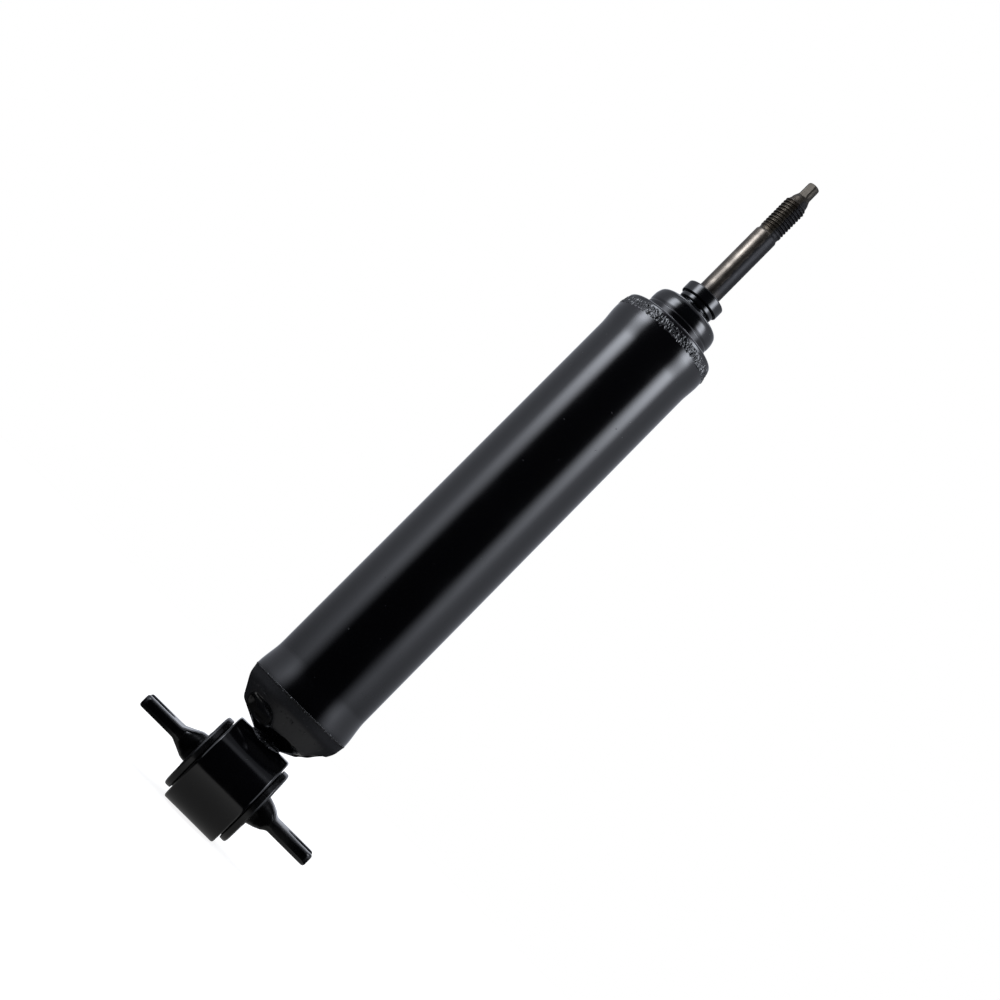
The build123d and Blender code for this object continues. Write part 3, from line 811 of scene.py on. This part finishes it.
def makeFloorPaint():
    look = floorLook
    material, tree, shader = newMaterial("white_floor", (1, 1, 1))
    tree.nodes.remove(shader)
    length = tree.nodes.new("ShaderNodeVectorMath")
    length.operation = "LENGTH"
    tree.links.new(objectPoint(tree), length.inputs[0])
    away = length.outputs["Value"]
    paths = tree.nodes.new("ShaderNodeLightPath")
    plainFrom = look["shadowRadius"] * look["fadeOut"]
    shown = rangeNode(tree, away, look["shadowRadius"], plainFrom, look["glow"], 1.0)
    glow = tree.nodes.new("ShaderNodeEmission")
    tree.links.new(mathNode(tree, "MULTIPLY", seenDirectly(tree, paths), shown), glow.inputs["Strength"])
    chalk = tree.nodes.new("ShaderNodeBsdfDiffuse")
    chalk.inputs["Color"].default_value = (look["chalk"], look["chalk"], look["chalk"], 1)
    seen = tree.nodes.new("ShaderNodeAddShader")
    tree.links.new(glow.outputs[0], seen.inputs[0])
    tree.links.new(chalk.outputs[0], seen.inputs[1])
    mirror = tree.nodes.new("ShaderNodeEmission")
    side = rangeNode(tree, splitPoint(tree)["X"], *look["leftEdge"], look["leftShare"], 1.0)
    mirrored = mathNode(tree, "MULTIPLY", strengthTable(tree, away, look["mirrored"]), side)
    tree.links.new(mirrored, mirror.inputs["Strength"])
    mix = tree.nodes.new("ShaderNodeMixShader")
    tree.links.new(paths.outputs["Is Glossy Ray"], mix.inputs["Fac"])
    tree.links.new(seen.outputs[0], mix.inputs[1])
    tree.links.new(mirror.outputs[0], mix.inputs[2])
    tree.links.new(mix.outputs[0], tree.nodes["Material Output"].inputs["Surface"])
    return material


def makeFloor():
    form = bmesh.new()
    bmesh.ops.create_circle(form, cap_ends=True, segments=96, radius=floorLook["radius"] * mm)
    bmesh.ops.translate(form, verts=form.verts, vec=(0, 0, floorLook["height"] * mm))
    mesh = bpy.data.meshes.new("floor")
    form.to_mesh(mesh)
    form.free()
    mesh.materials.append(makeFloorPaint())
    floor = bpy.data.objects.new("floor", mesh)
    bpy.context.scene.collection.objects.link(floor)


makeFloor()
print("studio built")

# Eye ring, a cut length of tube with broken rims
eyeSizes = {
    "outer": 21.1,
    "bore": 17.25,
    "half": 13.0,
    "rim": 0.9,
    "inside": 0.35,
    "unevenness": 0.05,
    "evenRadius": 18.5,  # the metal inside this radius stays even
}


def makeEyeRing():
    sizes = eyeSizes
    outline = [(sizes["bore"], -sizes["half"], sizes["inside"]),
               (sizes["outer"], -sizes["half"], sizes["rim"]),
               (sizes["outer"], sizes["half"], sizes["rim"]),
               (sizes["bore"], sizes["half"], sizes["inside"])]
    ring = lathe(outline, segments=160, longest=1.6, aboutX=True)
    for vert in ring.verts:
        around = Vector((0, vert.co.y, vert.co.z))
        if around.length > sizes["evenRadius"]:
            lump = noise.noise(Vector((vert.co.x * 0.12, vert.co.y * 0.16, vert.co.z * 0.16)))
            vert.co -= around.normalized() * sizes["unevenness"] * (0.5 + 0.5 * lump)
    finishPiece("eye_ring_look", ring, [ringEnamel], "barrel", ["eye_ring"])


makeEyeRing()

# Rubber bush: a rounded lip stands clear of each rim of the ring
bushSizes = {
    "bore": 6.95,
    "boreRim": 8.6,
    "dishStart": 9.6,
    "dishEnd": 16.2,
    "dishDepth": 0.3,
    "lip": 17.6,
    "lipOuter": 16.9,
    "lipInner": 13.6,
    "lipDrop": 0.35,
    "rimDrop": 0.7,
    "neck": 16.05,
    "neckAt": 13.3,
    "seat": 17.23,
    "seatEnd": 12.5,
}


def makeBush():
    sizes = bushSizes
    outer = sizes["lipOuter"]
    half = [(sizes["bore"], outer, 0.2),
            (sizes["boreRim"], outer, 0.8),
            (sizes["dishStart"], outer - sizes["dishDepth"], 1.5),
            (sizes["dishEnd"], outer - sizes["lipDrop"], 1.0),
            (sizes["lip"], outer - sizes["rimDrop"], 0.9),
            (sizes["lip"], sizes["lipInner"], 0.35),
            (sizes["neck"], sizes["neckAt"], 0.2),
            (sizes["seat"], sizes["seatEnd"], 0.2),
            (sizes["seat"], 0)]
    other = [(corner[0], -corner[1], *corner[2:]) for corner in reversed(half[:-1])]
    bush = lathe(half + other, segments=160, longest=2.5, aboutX=True)
    finishPiece("eye_bushing_look", bush, [bushRubber], "barrel", ["eye_bushing"])


makeBush()

# Bar pin: round in the bush, forged flat at both ends, a U slot open to each end.
# The tables are (distance from the middle, half size); the two ends are forged a little differently.
# The swell and the ends get close cross sections, the core between them none
pinSizes = {
    "half": 44.2,
    "tangHalf": 2.75,
    "planCorner": 2.6,
    "endEdge": 1.0,
    "slotRadius": 5.25,
    "slotSeat": 36.25,
    "slotMouth": 0.9,
    "slotRim": 0.4,
    "leftThick": [(16.9, 6.9), (18.0, 6.72), (19.4, 6.35), (20.5, 5.75), (21.7, 5.1), (22.9, 4.4),
                  (24.0, 3.85), (26.5, 2.83), (28.0, 2.75)],
    "rightThick": [(16.9, 6.88), (17.8, 6.6), (19.0, 6.15), (20.1, 5.7), (21.3, 5.05), (22.5, 4.4),
                   (23.6, 3.5), (24.8, 2.85), (25.8, 2.75)],
    "width": [(16.9, 6.9), (18.5, 7.25), (20.5, 8.2), (22.5, 9.4), (24.5, 10.3), (26.0, 10.5)],
    "rounding": [(16.9, 6.85), (19.0, 5.6), (21.5, 4.0), (24.0, 2.6), (27.0, 1.8)],
    "flatFrom": 28.5,
    "coreEnd": 16.7,
    "swellStart": 16.9,
    "swellStep": 0.35,
    "swellCount": 33,
    "endSteps": (2.6, 2.1, 1.5, 1.0, 0.6, 0.38, 0.22, 0.1, 0.03, 0),
    "cornerSteps": 12,
}


def pinSection(x):
    sizes = pinSizes
    far = abs(x)
    thick = curveAt(sizes["leftThick"] if x < 0 else sizes["rightThick"], far)
    wide = curveAt(sizes["width"], far)
    corner = min(curveAt(sizes["rounding"], far), thick - 0.03)
    plan = sizes["planCorner"]
    endIn = far - (sizes["half"] - plan)
    if endIn > 0:
        wide -= plan - math.sqrt(max(0, plan ** 2 - endIn ** 2))
    edge = sizes["endEdge"]
    rimIn = far - (sizes["half"] - edge)
    if rimIn > 0:
        inset = edge - math.sqrt(max(0, edge ** 2 - rimIn ** 2))
        thick -= inset
        wide -= inset * 0.3
        corner = max(0.3, corner - inset)
    section = []
    for k in range(4):
        turn = k * math.pi / 2
        acrossY = (wide - corner) * (1 if k in (0, 3) else -1)
        acrossZ = (thick - corner) * (1 if k in (0, 1) else -1)
        for i in range(sizes["cornerSteps"] + 1):
            angle = turn + math.pi / 2 * i / sizes["cornerSteps"]
            section.append((x, acrossY + corner * math.cos(angle), acrossZ + corner * math.sin(angle)))
    return section


def makePinBlank():
    sizes = pinSizes
    ends = [sizes["half"] - inward for inward in sizes["endSteps"]]
    swell = [sizes["coreEnd"]]
    swell += [sizes["swellStart"] + sizes["swellStep"] * k for k in range(sizes["swellCount"])]
    stations = [-x for x in reversed(swell + ends)] + swell + ends
    form = bmesh.new()
    loops = []
    for x in stations:
        ring = [form.verts.new(point) for point in pinSection(x)]
        loops.append([form.edges.new((a, b)) for a, b in zip(ring, ring[1:] + ring[:1])])
    for first, second in zip(loops, loops[1:]):
        bmesh.ops.bridge_loops(form, edges=first + second)
    bmesh.ops.holes_fill(form, edges=loops[0] + loops[-1], sides=0)
    bmesh.ops.recalc_face_normals(form, faces=form.faces)
    return form


# The form that cuts one U slot, with its mouth eased; it reaches past the end and past both faces
def makeSlotCutter(side, past=3, deep=6):
    sizes = pinSizes
    radius = sizes["slotRadius"]
    mouth = sizes["slotMouth"]
    outline = []
    for k in range(25):
        angle = math.pi / 2 + math.pi * k / 24
        outline.append((sizes["slotSeat"] + radius * math.cos(angle), radius * math.sin(angle)))
    lower = []
    for k in range(7):
        angle = math.pi / 2 * k / 6
        lower.append((sizes["half"] - mouth + mouth * math.sin(angle),
                      -(radius + mouth - mouth * math.cos(angle))))
    lower.append((sizes["half"] + past, lower[-1][1]))
    outline += lower + [(x, -y) for x, y in reversed(lower)]
    form = bmesh.new()
    points = [form.verts.new((x * side, y, -deep)) for x, y in outline]
    edges = [form.edges.new((a, b)) for a, b in zip(points, points[1:] + points[:1])]
    bmesh.ops.contextual_create(form, geom=edges)
    raised = bmesh.ops.extrude_face_region(form, geom=form.faces[:])
    top = [part for part in raised["geom"] if isinstance(part, bmesh.types.BMVert)]
    bmesh.ops.translate(form, verts=top, vec=(0, 0, 2 * deep))
    bmesh.ops.recalc_face_normals(form, faces=form.faces)
    return form


# The cut is made on spare objects, which are removed again
def makeSpare(name, form):
    mesh = bpy.data.meshes.new(name)
    form.to_mesh(mesh)
    form.free()
    spare = bpy.data.objects.new(name, mesh)
    bpy.context.scene.collection.objects.link(spare)
    return spare


def cutForm(form, cutters):
    bodyObject = makeSpare("cut_body", form)
    tools = [makeSpare("cut_tool", cutter) for cutter in cutters]
    for tool in tools:
        modifier = bodyObject.modifiers.new("cut", "BOOLEAN")
        modifier.operation = "DIFFERENCE"
        modifier.solver = "EXACT"
        modifier.object = tool
    bpy.context.view_layer.update()
    shown = bodyObject.evaluated_get(bpy.context.evaluated_depsgraph_get())
    result = bmesh.new()
    result.from_mesh(shown.to_mesh())
    shown.to_mesh_clear()
    for spare in [bodyObject, *tools]:
        mesh = spare.data
        bpy.data.objects.remove(spare)
        bpy.data.meshes.remove(mesh)
    return result


def makeBarPin():
    sizes = pinSizes
    pin = cutForm(makePinBlank(), [makeSlotCutter(-1), makeSlotCutter(1)])
    bmesh.ops.remove_doubles(pin, verts=pin.verts, dist=0.002)
    # the flats become single faces, so that the slot rims can be rounded
    flats = [face for face in pin.faces
             if abs(face.calc_center_median().x) > sizes["flatFrom"] and abs(face.normal.z) > 0.999]
    inFlats = {edge for face in flats for edge in face.edges
               if len(edge.link_faces) == 2 and all(near in flats for near in edge.link_faces)}
    bmesh.ops.dissolve_edges(pin, edges=list(inFlats), use_verts=True)
    rims = []
    for edge in pin.edges:
        if len(edge.link_faces) != 2 or edge.calc_face_angle(0) < math.radians(50):
            continue
        if all(abs(abs(vert.co.z) - sizes["tangHalf"]) < 0.05 for vert in edge.verts):
            rims.append(edge)
    bmesh.ops.bevel(pin, geom=rims, offset=sizes["slotRim"], offset_type="OFFSET", segments=3, profile=0.5,
                    affect="EDGES", material=-1)
    finishPiece("bar_pin_look", pin, [forgedEnamel], "bar", ["bar_pin"], sharp=32)


makeBarPin()

# Base cup: a pressed bowl of even wall.
# Each dimple is a thumb form pushed in along the surface's own direction
cupSizes = {
    "outside": [(0, 21.25), (6.6, 21.25, 2.0), (18.2, 26.95, 4.0), (23.0, 35.55, 8.0), (23.65, 39.65)],
    "inside": [(21.75, 39.65), (21.75, 43.05, 0.5), (20.15, 43.05), (20.15, 38.45), (20.75, 37.75),
               (20.6, 36.35, 5.5), (16.4, 28.84, 1.5), (6.03, 23.75, 0.5), (0, 23.75)],
    "wall": 2.5,
    "thumbRadius": 8.8,
    "thumbHalf": 3.2,
    "thumbAcross": 22.1,
    "thumbHeight": 23.4,
    "blend": 0.9,
    "firstTurn": -126.0,
    "count": 3,
    "pressTop": 38.3,  # nothing above this height or inside this radius is pressed
    "pressInner": 6,
    "deepest": 9.0,
}


def thumbGap(point, centre, tangent, radius):
    half = cupSizes["thumbHalf"]
    along = max(-half, min(half, (point - centre).dot(tangent)))
    return radius - (point - centre - tangent * along).length


def pressIn(point, inward, centre, tangent, radius):
    soft = cupSizes["blend"]
    low, high = 0.0, cupSizes["deepest"]
    for k in range(16):
        middle = (low + high) / 2
        hole = thumbGap(point + inward * middle, centre, tangent, radius)
        near = max(soft - abs(-middle - hole), 0) / soft
        if max(-middle, hole) + near * near * soft / 4 > 0:
            low = middle
        else:
            high = middle
    return (low + high) / 2


def placeThumbs():
    thumbs = []
    for i in range(cupSizes["count"]):
        angle = math.radians(cupSizes["firstTurn"] + 360 * i / cupSizes["count"])
        centre = Vector((math.cos(angle), math.sin(angle), 0)) * cupSizes["thumbAcross"]
        centre.z = cupSizes["thumbHeight"]
        thumbs.append((centre, Vector((-math.sin(angle), math.cos(angle), 0))))
    return thumbs


def makeCup():
    sizes = cupSizes
    cup = lathe(sizes["outside"] + sizes["inside"], segments=300, closed=False, longest=0.5)
    pressedLayer = cup.verts.layers.float.new("dimple")
    thumbs = placeThumbs()
    moves = []
    for vert in cup.verts:
        if vert.co.z > sizes["pressTop"] or vert.co.xy.length < sizes["pressInner"]:
            continue
        facing = vert.normal.xy.dot(vert.co.xy) >= -0.001
        outside = facing and vert.normal.z < 0.05 and vert.co.z < sizes["pressTop"]
        radius = sizes["thumbRadius"] if outside else sizes["thumbRadius"] + sizes["wall"]
        inward = -vert.normal if outside else vert.normal.copy()
        for centre, tangent in thumbs:
            if thumbGap(vert.co, centre, tangent, radius) > -sizes["blend"]:
                depth = pressIn(vert.co, inward, centre, tangent, radius)
                moves.append((vert, inward * depth))
                vert[pressedLayer] = min(1, depth)
    for vert, move in moves:
        vert.co += move
    finishPiece("base_cup_look", cup, [cupEnamel], "barrel", ["base_cup"], sharp=60)


makeCup()


# Keeps a lumpy weld inside its largest radius
def holdWithin(vert, limit):
    reach = vert.co.xy.length
    if reach > limit:
        vert.co.x *= limit / reach
        vert.co.y *= limit / reach


# Weld that closes the seam, a fine lumpy line all the way round
seamSizes = {
    "inner": 21.8,
    "edge": 23.6,
    "crest": 23.8,
    "low": 39.6,
    "high": 40.5,
    "crestLow": 39.85,
    "crestHigh": 40.25,
    "lump": 0.09,
    "waver": 0.16,
    "evenRadius": 23.3,
    "limit": 23.82,
}


def makeSeam():
    sizes = seamSizes
    outline = [(sizes["inner"], sizes["low"]), (sizes["edge"], sizes["low"]),
               (sizes["crest"], sizes["crestLow"], 0.2), (sizes["crest"], sizes["crestHigh"], 0.2),
               (sizes["edge"], sizes["high"]), (sizes["inner"], sizes["high"])]
    seam = lathe(outline, segments=480, longest=0.4)
    texturedLayer = seam.verts.layers.float.new("textured")
    for vert in seam.verts:
        vert[texturedLayer] = 1
        out = Vector((vert.co.x, vert.co.y, 0))
        if out.length > sizes["evenRadius"]:
            lump = noise.noise(vert.co * 1.3) + 0.6 * noise.noise(vert.co * 3.1)
            vert.co += out.normalized() * sizes["lump"] * (lump - 0.2)
            vert.co.z += sizes["waver"] * noise.noise(vert.co * 0.9 + Vector((7, 3, 1)))
            holdWithin(vert, sizes["limit"])
    finishPiece("base_weld_look", seam, [seamEnamel], "barrel", ["base_weld"], sharp=60)


makeSeam()

# Weld between the ring and the cup; at front and back it sags down to the round of the ring
neckSizes = {
    "outline": [(0, 19.65), (7.0, 19.65), (7.7, 19.85, 0.3), (7.5, 20.95, 0.6), (6.5, 21.65, 0.3),
                (0, 21.65)],
    "evenRadius": 4,
    "lump": 0.3,
    "sag": 1.08,
    "sagRadius": 7.5,
    "sagTop": 21.15,
    "sagLow": 19.65,
}


def makeNeck():
    sizes = neckSizes
    neck = lathe(sizes["outline"], segments=128, closed=False, longest=0.35)
    texturedLayer = neck.verts.layers.float.new("textured")
    for vert in neck.verts:
        vert[texturedLayer] = 1
        out = Vector((vert.co.x, vert.co.y, 0))
        if out.length > sizes["evenRadius"]:
            vert.co -= out.normalized() * sizes["lump"] * (0.5 + noise.noise(vert.co * 0.8))
            share = smoothStep(sizes["sagTop"], sizes["sagLow"], vert.co.z)
            vert.co.z -= sizes["sag"] * (vert.co.y / sizes["sagRadius"]) ** 2 * share
    finishPiece("eye_weld_look", neck, [seamEnamel], "barrel", ["eye_weld"], sharp=60)


makeNeck()

# Reservoir tube, wider at both ends
tubeSizes = {
    "radius": 22.5,
    "wall": 1.5,
    "flare": 23.7,
    "flareEnd": 52.75,
    "bellStart": 231.8,
    "bell": 23.1,
    "bellEnd": 240.9,
    "mouth": 23.03,
    "low": 40.45,
    "high": 243.35,
}


def makeTube():
    sizes = tubeSizes
    foot = (sizes["flare"], sizes["low"])
    flareEnd = (sizes["radius"], sizes["flareEnd"])
    bellStart = (sizes["radius"], sizes["bellStart"])
    bellEnd = (sizes["bell"], sizes["bellEnd"])
    outside = [foot, *easedRun(foot, flareEnd, 14), flareEnd]
    outside += [bellStart, *easedRun(bellStart, bellEnd, 10), bellEnd, (sizes["mouth"], sizes["high"])]
    inside = [(r - sizes["wall"], z) for r, z in reversed(outside)]
    tube = lathe(outside + inside, segments=224, longest=5.0)
    finishPiece("reservoir_tube_look", tube, [enamel], "barrel", ["reservoir_tube"])


makeTube()

# Domed cap with its raised mouth
capSizes = {
    "skirt": [(20.95, 237.35), (20.95, 248.15, 1.9), (14.75, 249.05, 0.9)],
    "dome": [(15.44, 252.8, 0.35), (15.2, 253.2, 0.12), (15.48, 254.5, 4.0), (15.4, 257.0, 8.0),
             (14.6, 259.7, 3.0), (12.6, 260.75, 2.0), (8.3, 260.75, 0.25)],
    "mouth": [(7.75, 261.0, 0.2), (7.7, 262.65, 0.55), (6.75, 262.65, 0.2), (6.75, 258.95, 0.2)],
    "inside": [(13.7, 258.95, 2.0), (13.7, 247.25, 0.8), (19.15, 246.35, 0.5), (19.15, 237.35)],
}


def makeCap():
    sizes = capSizes
    outline = sizes["skirt"] + sizes["dome"] + sizes["mouth"] + sizes["inside"]
    cap = lathe(outline, segments=192, longest=2.0)
    finishPiece("top_cap_look", cap, [enamel], "barrel", ["top_cap"])


makeCap()

# Weld bead over the top of the tube, with short dashes and lumps.
# Its lower edge is ragged and its shoulder above is smooth
beadSizes = {
    "outline": [(21.0, 243.4), (22.7, 243.4), (23.0, 241.95), (23.06, 243.35), (22.65, 245.0, 2.0),
                (22.2, 247.2, 2.5), (21.95, 249.2, 1.5), (19.2, 249.2, 0.5), (18.6, 248.3), (21.0, 246.6)],
    "inner": 19.4,
    "top": 249.1,
    "middle": 22,
    "ridge": 0.2,
    "ripple": 0.1,
    "lump": 0.08,
    "sharpness": 4.5,
    "raggedness": 0.6,
    "edge": 242.95,
    "sunk": 0.08,
    "lipTop": 243.5,
    "textureEnd": 247.2,
    "limit": 23.3,
}


def beadRelief(vert, ringPoint):
    sizes = beadSizes
    z = vert.co.z
    long = Vector((ringPoint.x * 0.75, ringPoint.y * 0.75, z * 0.4))
    short = Vector((ringPoint.x * 1.5, ringPoint.y * 1.5, z * 0.75 + 9))
    ridge = 1 - sizes["sharpness"] * abs(noise.noise(long))
    ripple = 1 - sizes["sharpness"] * abs(noise.noise(short))
    lump = noise.noise(Vector((vert.co.x * 0.35, vert.co.y * 0.35, z * 0.5)))
    raised = sizes["ridge"] * max(-1, ridge) + sizes["ripple"] * max(-1, ripple)
    return raised + sizes["lump"] * lump


def makeBead():
    sizes = beadSizes
    bead = lathe(sizes["outline"], segments=720, longest=0.22)
    texturedLayer = bead.verts.layers.float.new("textured")
    for vert in bead.verts:
        out = Vector((vert.co.x, vert.co.y, 0))
        z = vert.co.z
        if out.length < sizes["inner"] or vert.normal.dot(out) < -0.2 or z > sizes["top"]:
            continue
        around = math.atan2(vert.co.y, vert.co.x) + z * 0.01
        ringPoint = Vector((math.cos(around), math.sin(around), 0)) * sizes["middle"]
        ragged = noise.noise(ringPoint * 0.6) + 0.6 * noise.noise(ringPoint * 1.6)
        edge = sizes["edge"] + sizes["raggedness"] * ragged
        end = sizes["textureEnd"]
        fade = 1 - smoothStep(end - 0.6, end + 0.4, z + 0.7 * noise.noise(ringPoint * 0.9))
        raised = smoothStep(edge - 0.2, edge + 0.3, z)
        direction = vert.normal if z > sizes["lipTop"] else out.normalized()
        relief = beadRelief(vert, ringPoint) * fade * raised
        vert.co += direction * (relief - sizes["sunk"] * (1 - raised))
        holdWithin(vert, sizes["limit"])
        vert[texturedLayer] = fade * raised
    finishPiece("top_weld_look", bead, [beadEnamel], "barrel", ["top_weld"], sharp=80)


makeBead()
print("barrel built")

# Rounded ring on the rod, under the collar
ringSizes = {
    "bore": 6.27,
    "outer": 8.1,
    "low": 263.15,
    "high": 265.65,
    "lowRounding": 0.8,
    "highRounding": 0.5,
}


def makeCollarRing():
    sizes = ringSizes
    outline = [(sizes["bore"], sizes["low"]),
               (sizes["outer"], sizes["low"], sizes["lowRounding"]),
               (sizes["outer"], sizes["high"], sizes["highRounding"]),
               (sizes["bore"], sizes["high"])]
    ring = lathe(outline, segments=128, longest=1.0)
    finishPiece("collar_ring_look", ring, [enamel], "rod", ["collar_ring"])


makeCollarRing()

# Collar on the stud
collarSizes = {
    "bore": 6.27,
    "outer": 9.05,
    "low": 265.67,
    "high": 270.65,
    "lowRounding": 0.5,
    "highRounding": 0.8,
    "boreLow": 0.1,
    "boreHigh": 0.15,
}


def makeCollar():
    sizes = collarSizes
    outline = [(sizes["bore"], sizes["low"], sizes["boreLow"]),
               (sizes["outer"], sizes["low"], sizes["lowRounding"]),
               (sizes["outer"], sizes["high"], sizes["highRounding"]),
               (sizes["bore"], sizes["high"], sizes["boreHigh"])]
    collar = lathe(outline, segments=128, longest=1.2)
    finishPiece("stud_collar_look", collar, [enamel], "rod", ["stud_collar"])


makeCollar()

# Piston rod in one piece: tenon, chromed shaft, bare stud, cut thread and flatted tip
rodSizes = {
    "tenon": [(0, 50.85), (3.4, 50.85), (4.0, 51.45), (4.0, 83.45)],
    "shaft": [(5.95, 83.45), (6.25, 83.75), (6.25, 93.25, 0.05), (5.75, 93.55, 0.05), (5.75, 95.15, 0.05),
              (6.25, 95.45, 0.05), (6.25, 270.6, 0.1)],
    "stud": [(5.15, 270.65, 0.1), (5.15, 305.65, 0.8), (4.66, 306.55, 0.8), (4.66, 307.75, 0.3),
             (4.98, 308.45, 0.3)],
    "tip": [(3.75, 326.25, 1.5), (2.75, 328.65, 2.4), (2.7, 334.95, 0.85), (0, 334.95)],
    "threadRadius": 4.98,
    "pitch": 1.5,
    "depth": 0.62,
    "threadLow": 308.55,
    "threadHigh": 324.75,
    "runOut": 1.2,
    "turnSteps": 16,
    "roundStart": 322.65,
    "roundEnd": 326.85,
    "roundDepth": 1.9,
    "flat": 2.25,
    "flatTurns": (60, 240),
    "flatStart": 327.25,
    "flatEnd": 327.95,
    "chromeEnd": 270,
    "studEnd": 306.15,
}


def rodLine():
    sizes = rodSizes
    plain = sizes["tenon"] + sizes["shaft"] + sizes["stud"]
    line = filledLine(roundedLine(plain, False), False, 6.0)
    length = sizes["threadHigh"] - sizes["threadLow"]
    rings = round(length / sizes["pitch"] * sizes["turnSteps"])
    for k in range(rings + 1):
        z = sizes["threadLow"] + length * k / rings
        rounding = sizes["roundDepth"] * smoothStep(sizes["roundStart"], sizes["roundEnd"], z)
        line.append(Vector((sizes["threadRadius"] - rounding, z)))
    tip = [(line[-1].x, line[-1].y), *sizes["tip"]]
    return line + filledLine(roundedLine(tip, False), False, 0.3)[1:]


def cutThread(vert):
    sizes = rodSizes
    z = vert.co.z
    phase = (z / sizes["pitch"] - math.atan2(vert.co.y, vert.co.x) / fullTurn) % 1
    groove = min(max(0, 1 - abs(phase - 0.5) / 0.42), 0.88)
    fade = smoothStep(sizes["threadLow"] - 0.3, sizes["threadLow"] + sizes["runOut"], z)
    fade *= 1 - smoothStep(sizes["threadHigh"] - 1.5, sizes["threadHigh"] + 0.1, z)
    share = 1 - sizes["depth"] * groove * fade / vert.co.xy.length
    vert.co.x *= share
    vert.co.y *= share


def cutFlats(vert):
    sizes = rodSizes
    for turn in sizes["flatTurns"]:
        facing = Vector((math.cos(math.radians(turn)), math.sin(math.radians(turn)), 0))
        over = vert.co.dot(facing) - sizes["flat"]
        if over > 0:
            vert.co -= facing * over * smoothStep(sizes["flatStart"], sizes["flatEnd"], vert.co.z)


def makeRod():
    sizes = rodSizes
    rod = lathe([(point.x, point.y) for point in rodLine()], segments=144, closed=False, longest=6.0)
    for vert in rod.verts:
        z = vert.co.z
        across = vert.co.xy.length
        if sizes["threadLow"] - 0.4 < z < sizes["threadHigh"] + 0.4 and across > 2:
            cutThread(vert)
        if z > sizes["flatStart"] - 0.3 and across > 1.2:
            cutFlats(vert)
    for face in rod.faces:
        z = face.calc_center_median().z
        face.material_index = 0 if z < sizes["chromeEnd"] else (1 if z < sizes["studEnd"] else 2)
    metals = [chromeRod, studSteel, threadSteel]
    finishPiece("piston_rod_look", rod, metals, "rod", ["piston_rod"], sharp=55)


makeRod()
print("rod built")

# The inner pieces keep their CAD form and get a finish of their own
innerFinish = {
    brightSteel: ["pressure_tube", "seal_washer", "foot_bolt", "foot_nut", "piston_nut", "support_washer",
                  "rebound_seat", "rebound_stop"],
    springSteel: ["seal_spring", "foot_discs", "foot_plate", "foot_star_spring", "piston_plate",
                  "piston_star_spring", "rebound_discs", "rebound_spring"],
    sinteredIron: ["rod_guide", "foot_valve_body", "piston"],
    bronze: ["guide_bush"],
    sealRubber: ["rod_seal", "rebound_bumper"],
    bandPlastic: ["piston_band"],
}


def finishInner():
    for material, names in innerFinish.items():
        for name in names:
            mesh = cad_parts[name].data
            mesh.materials.clear()
            mesh.materials.append(material)


finishInner()
print("inner pieces finished")
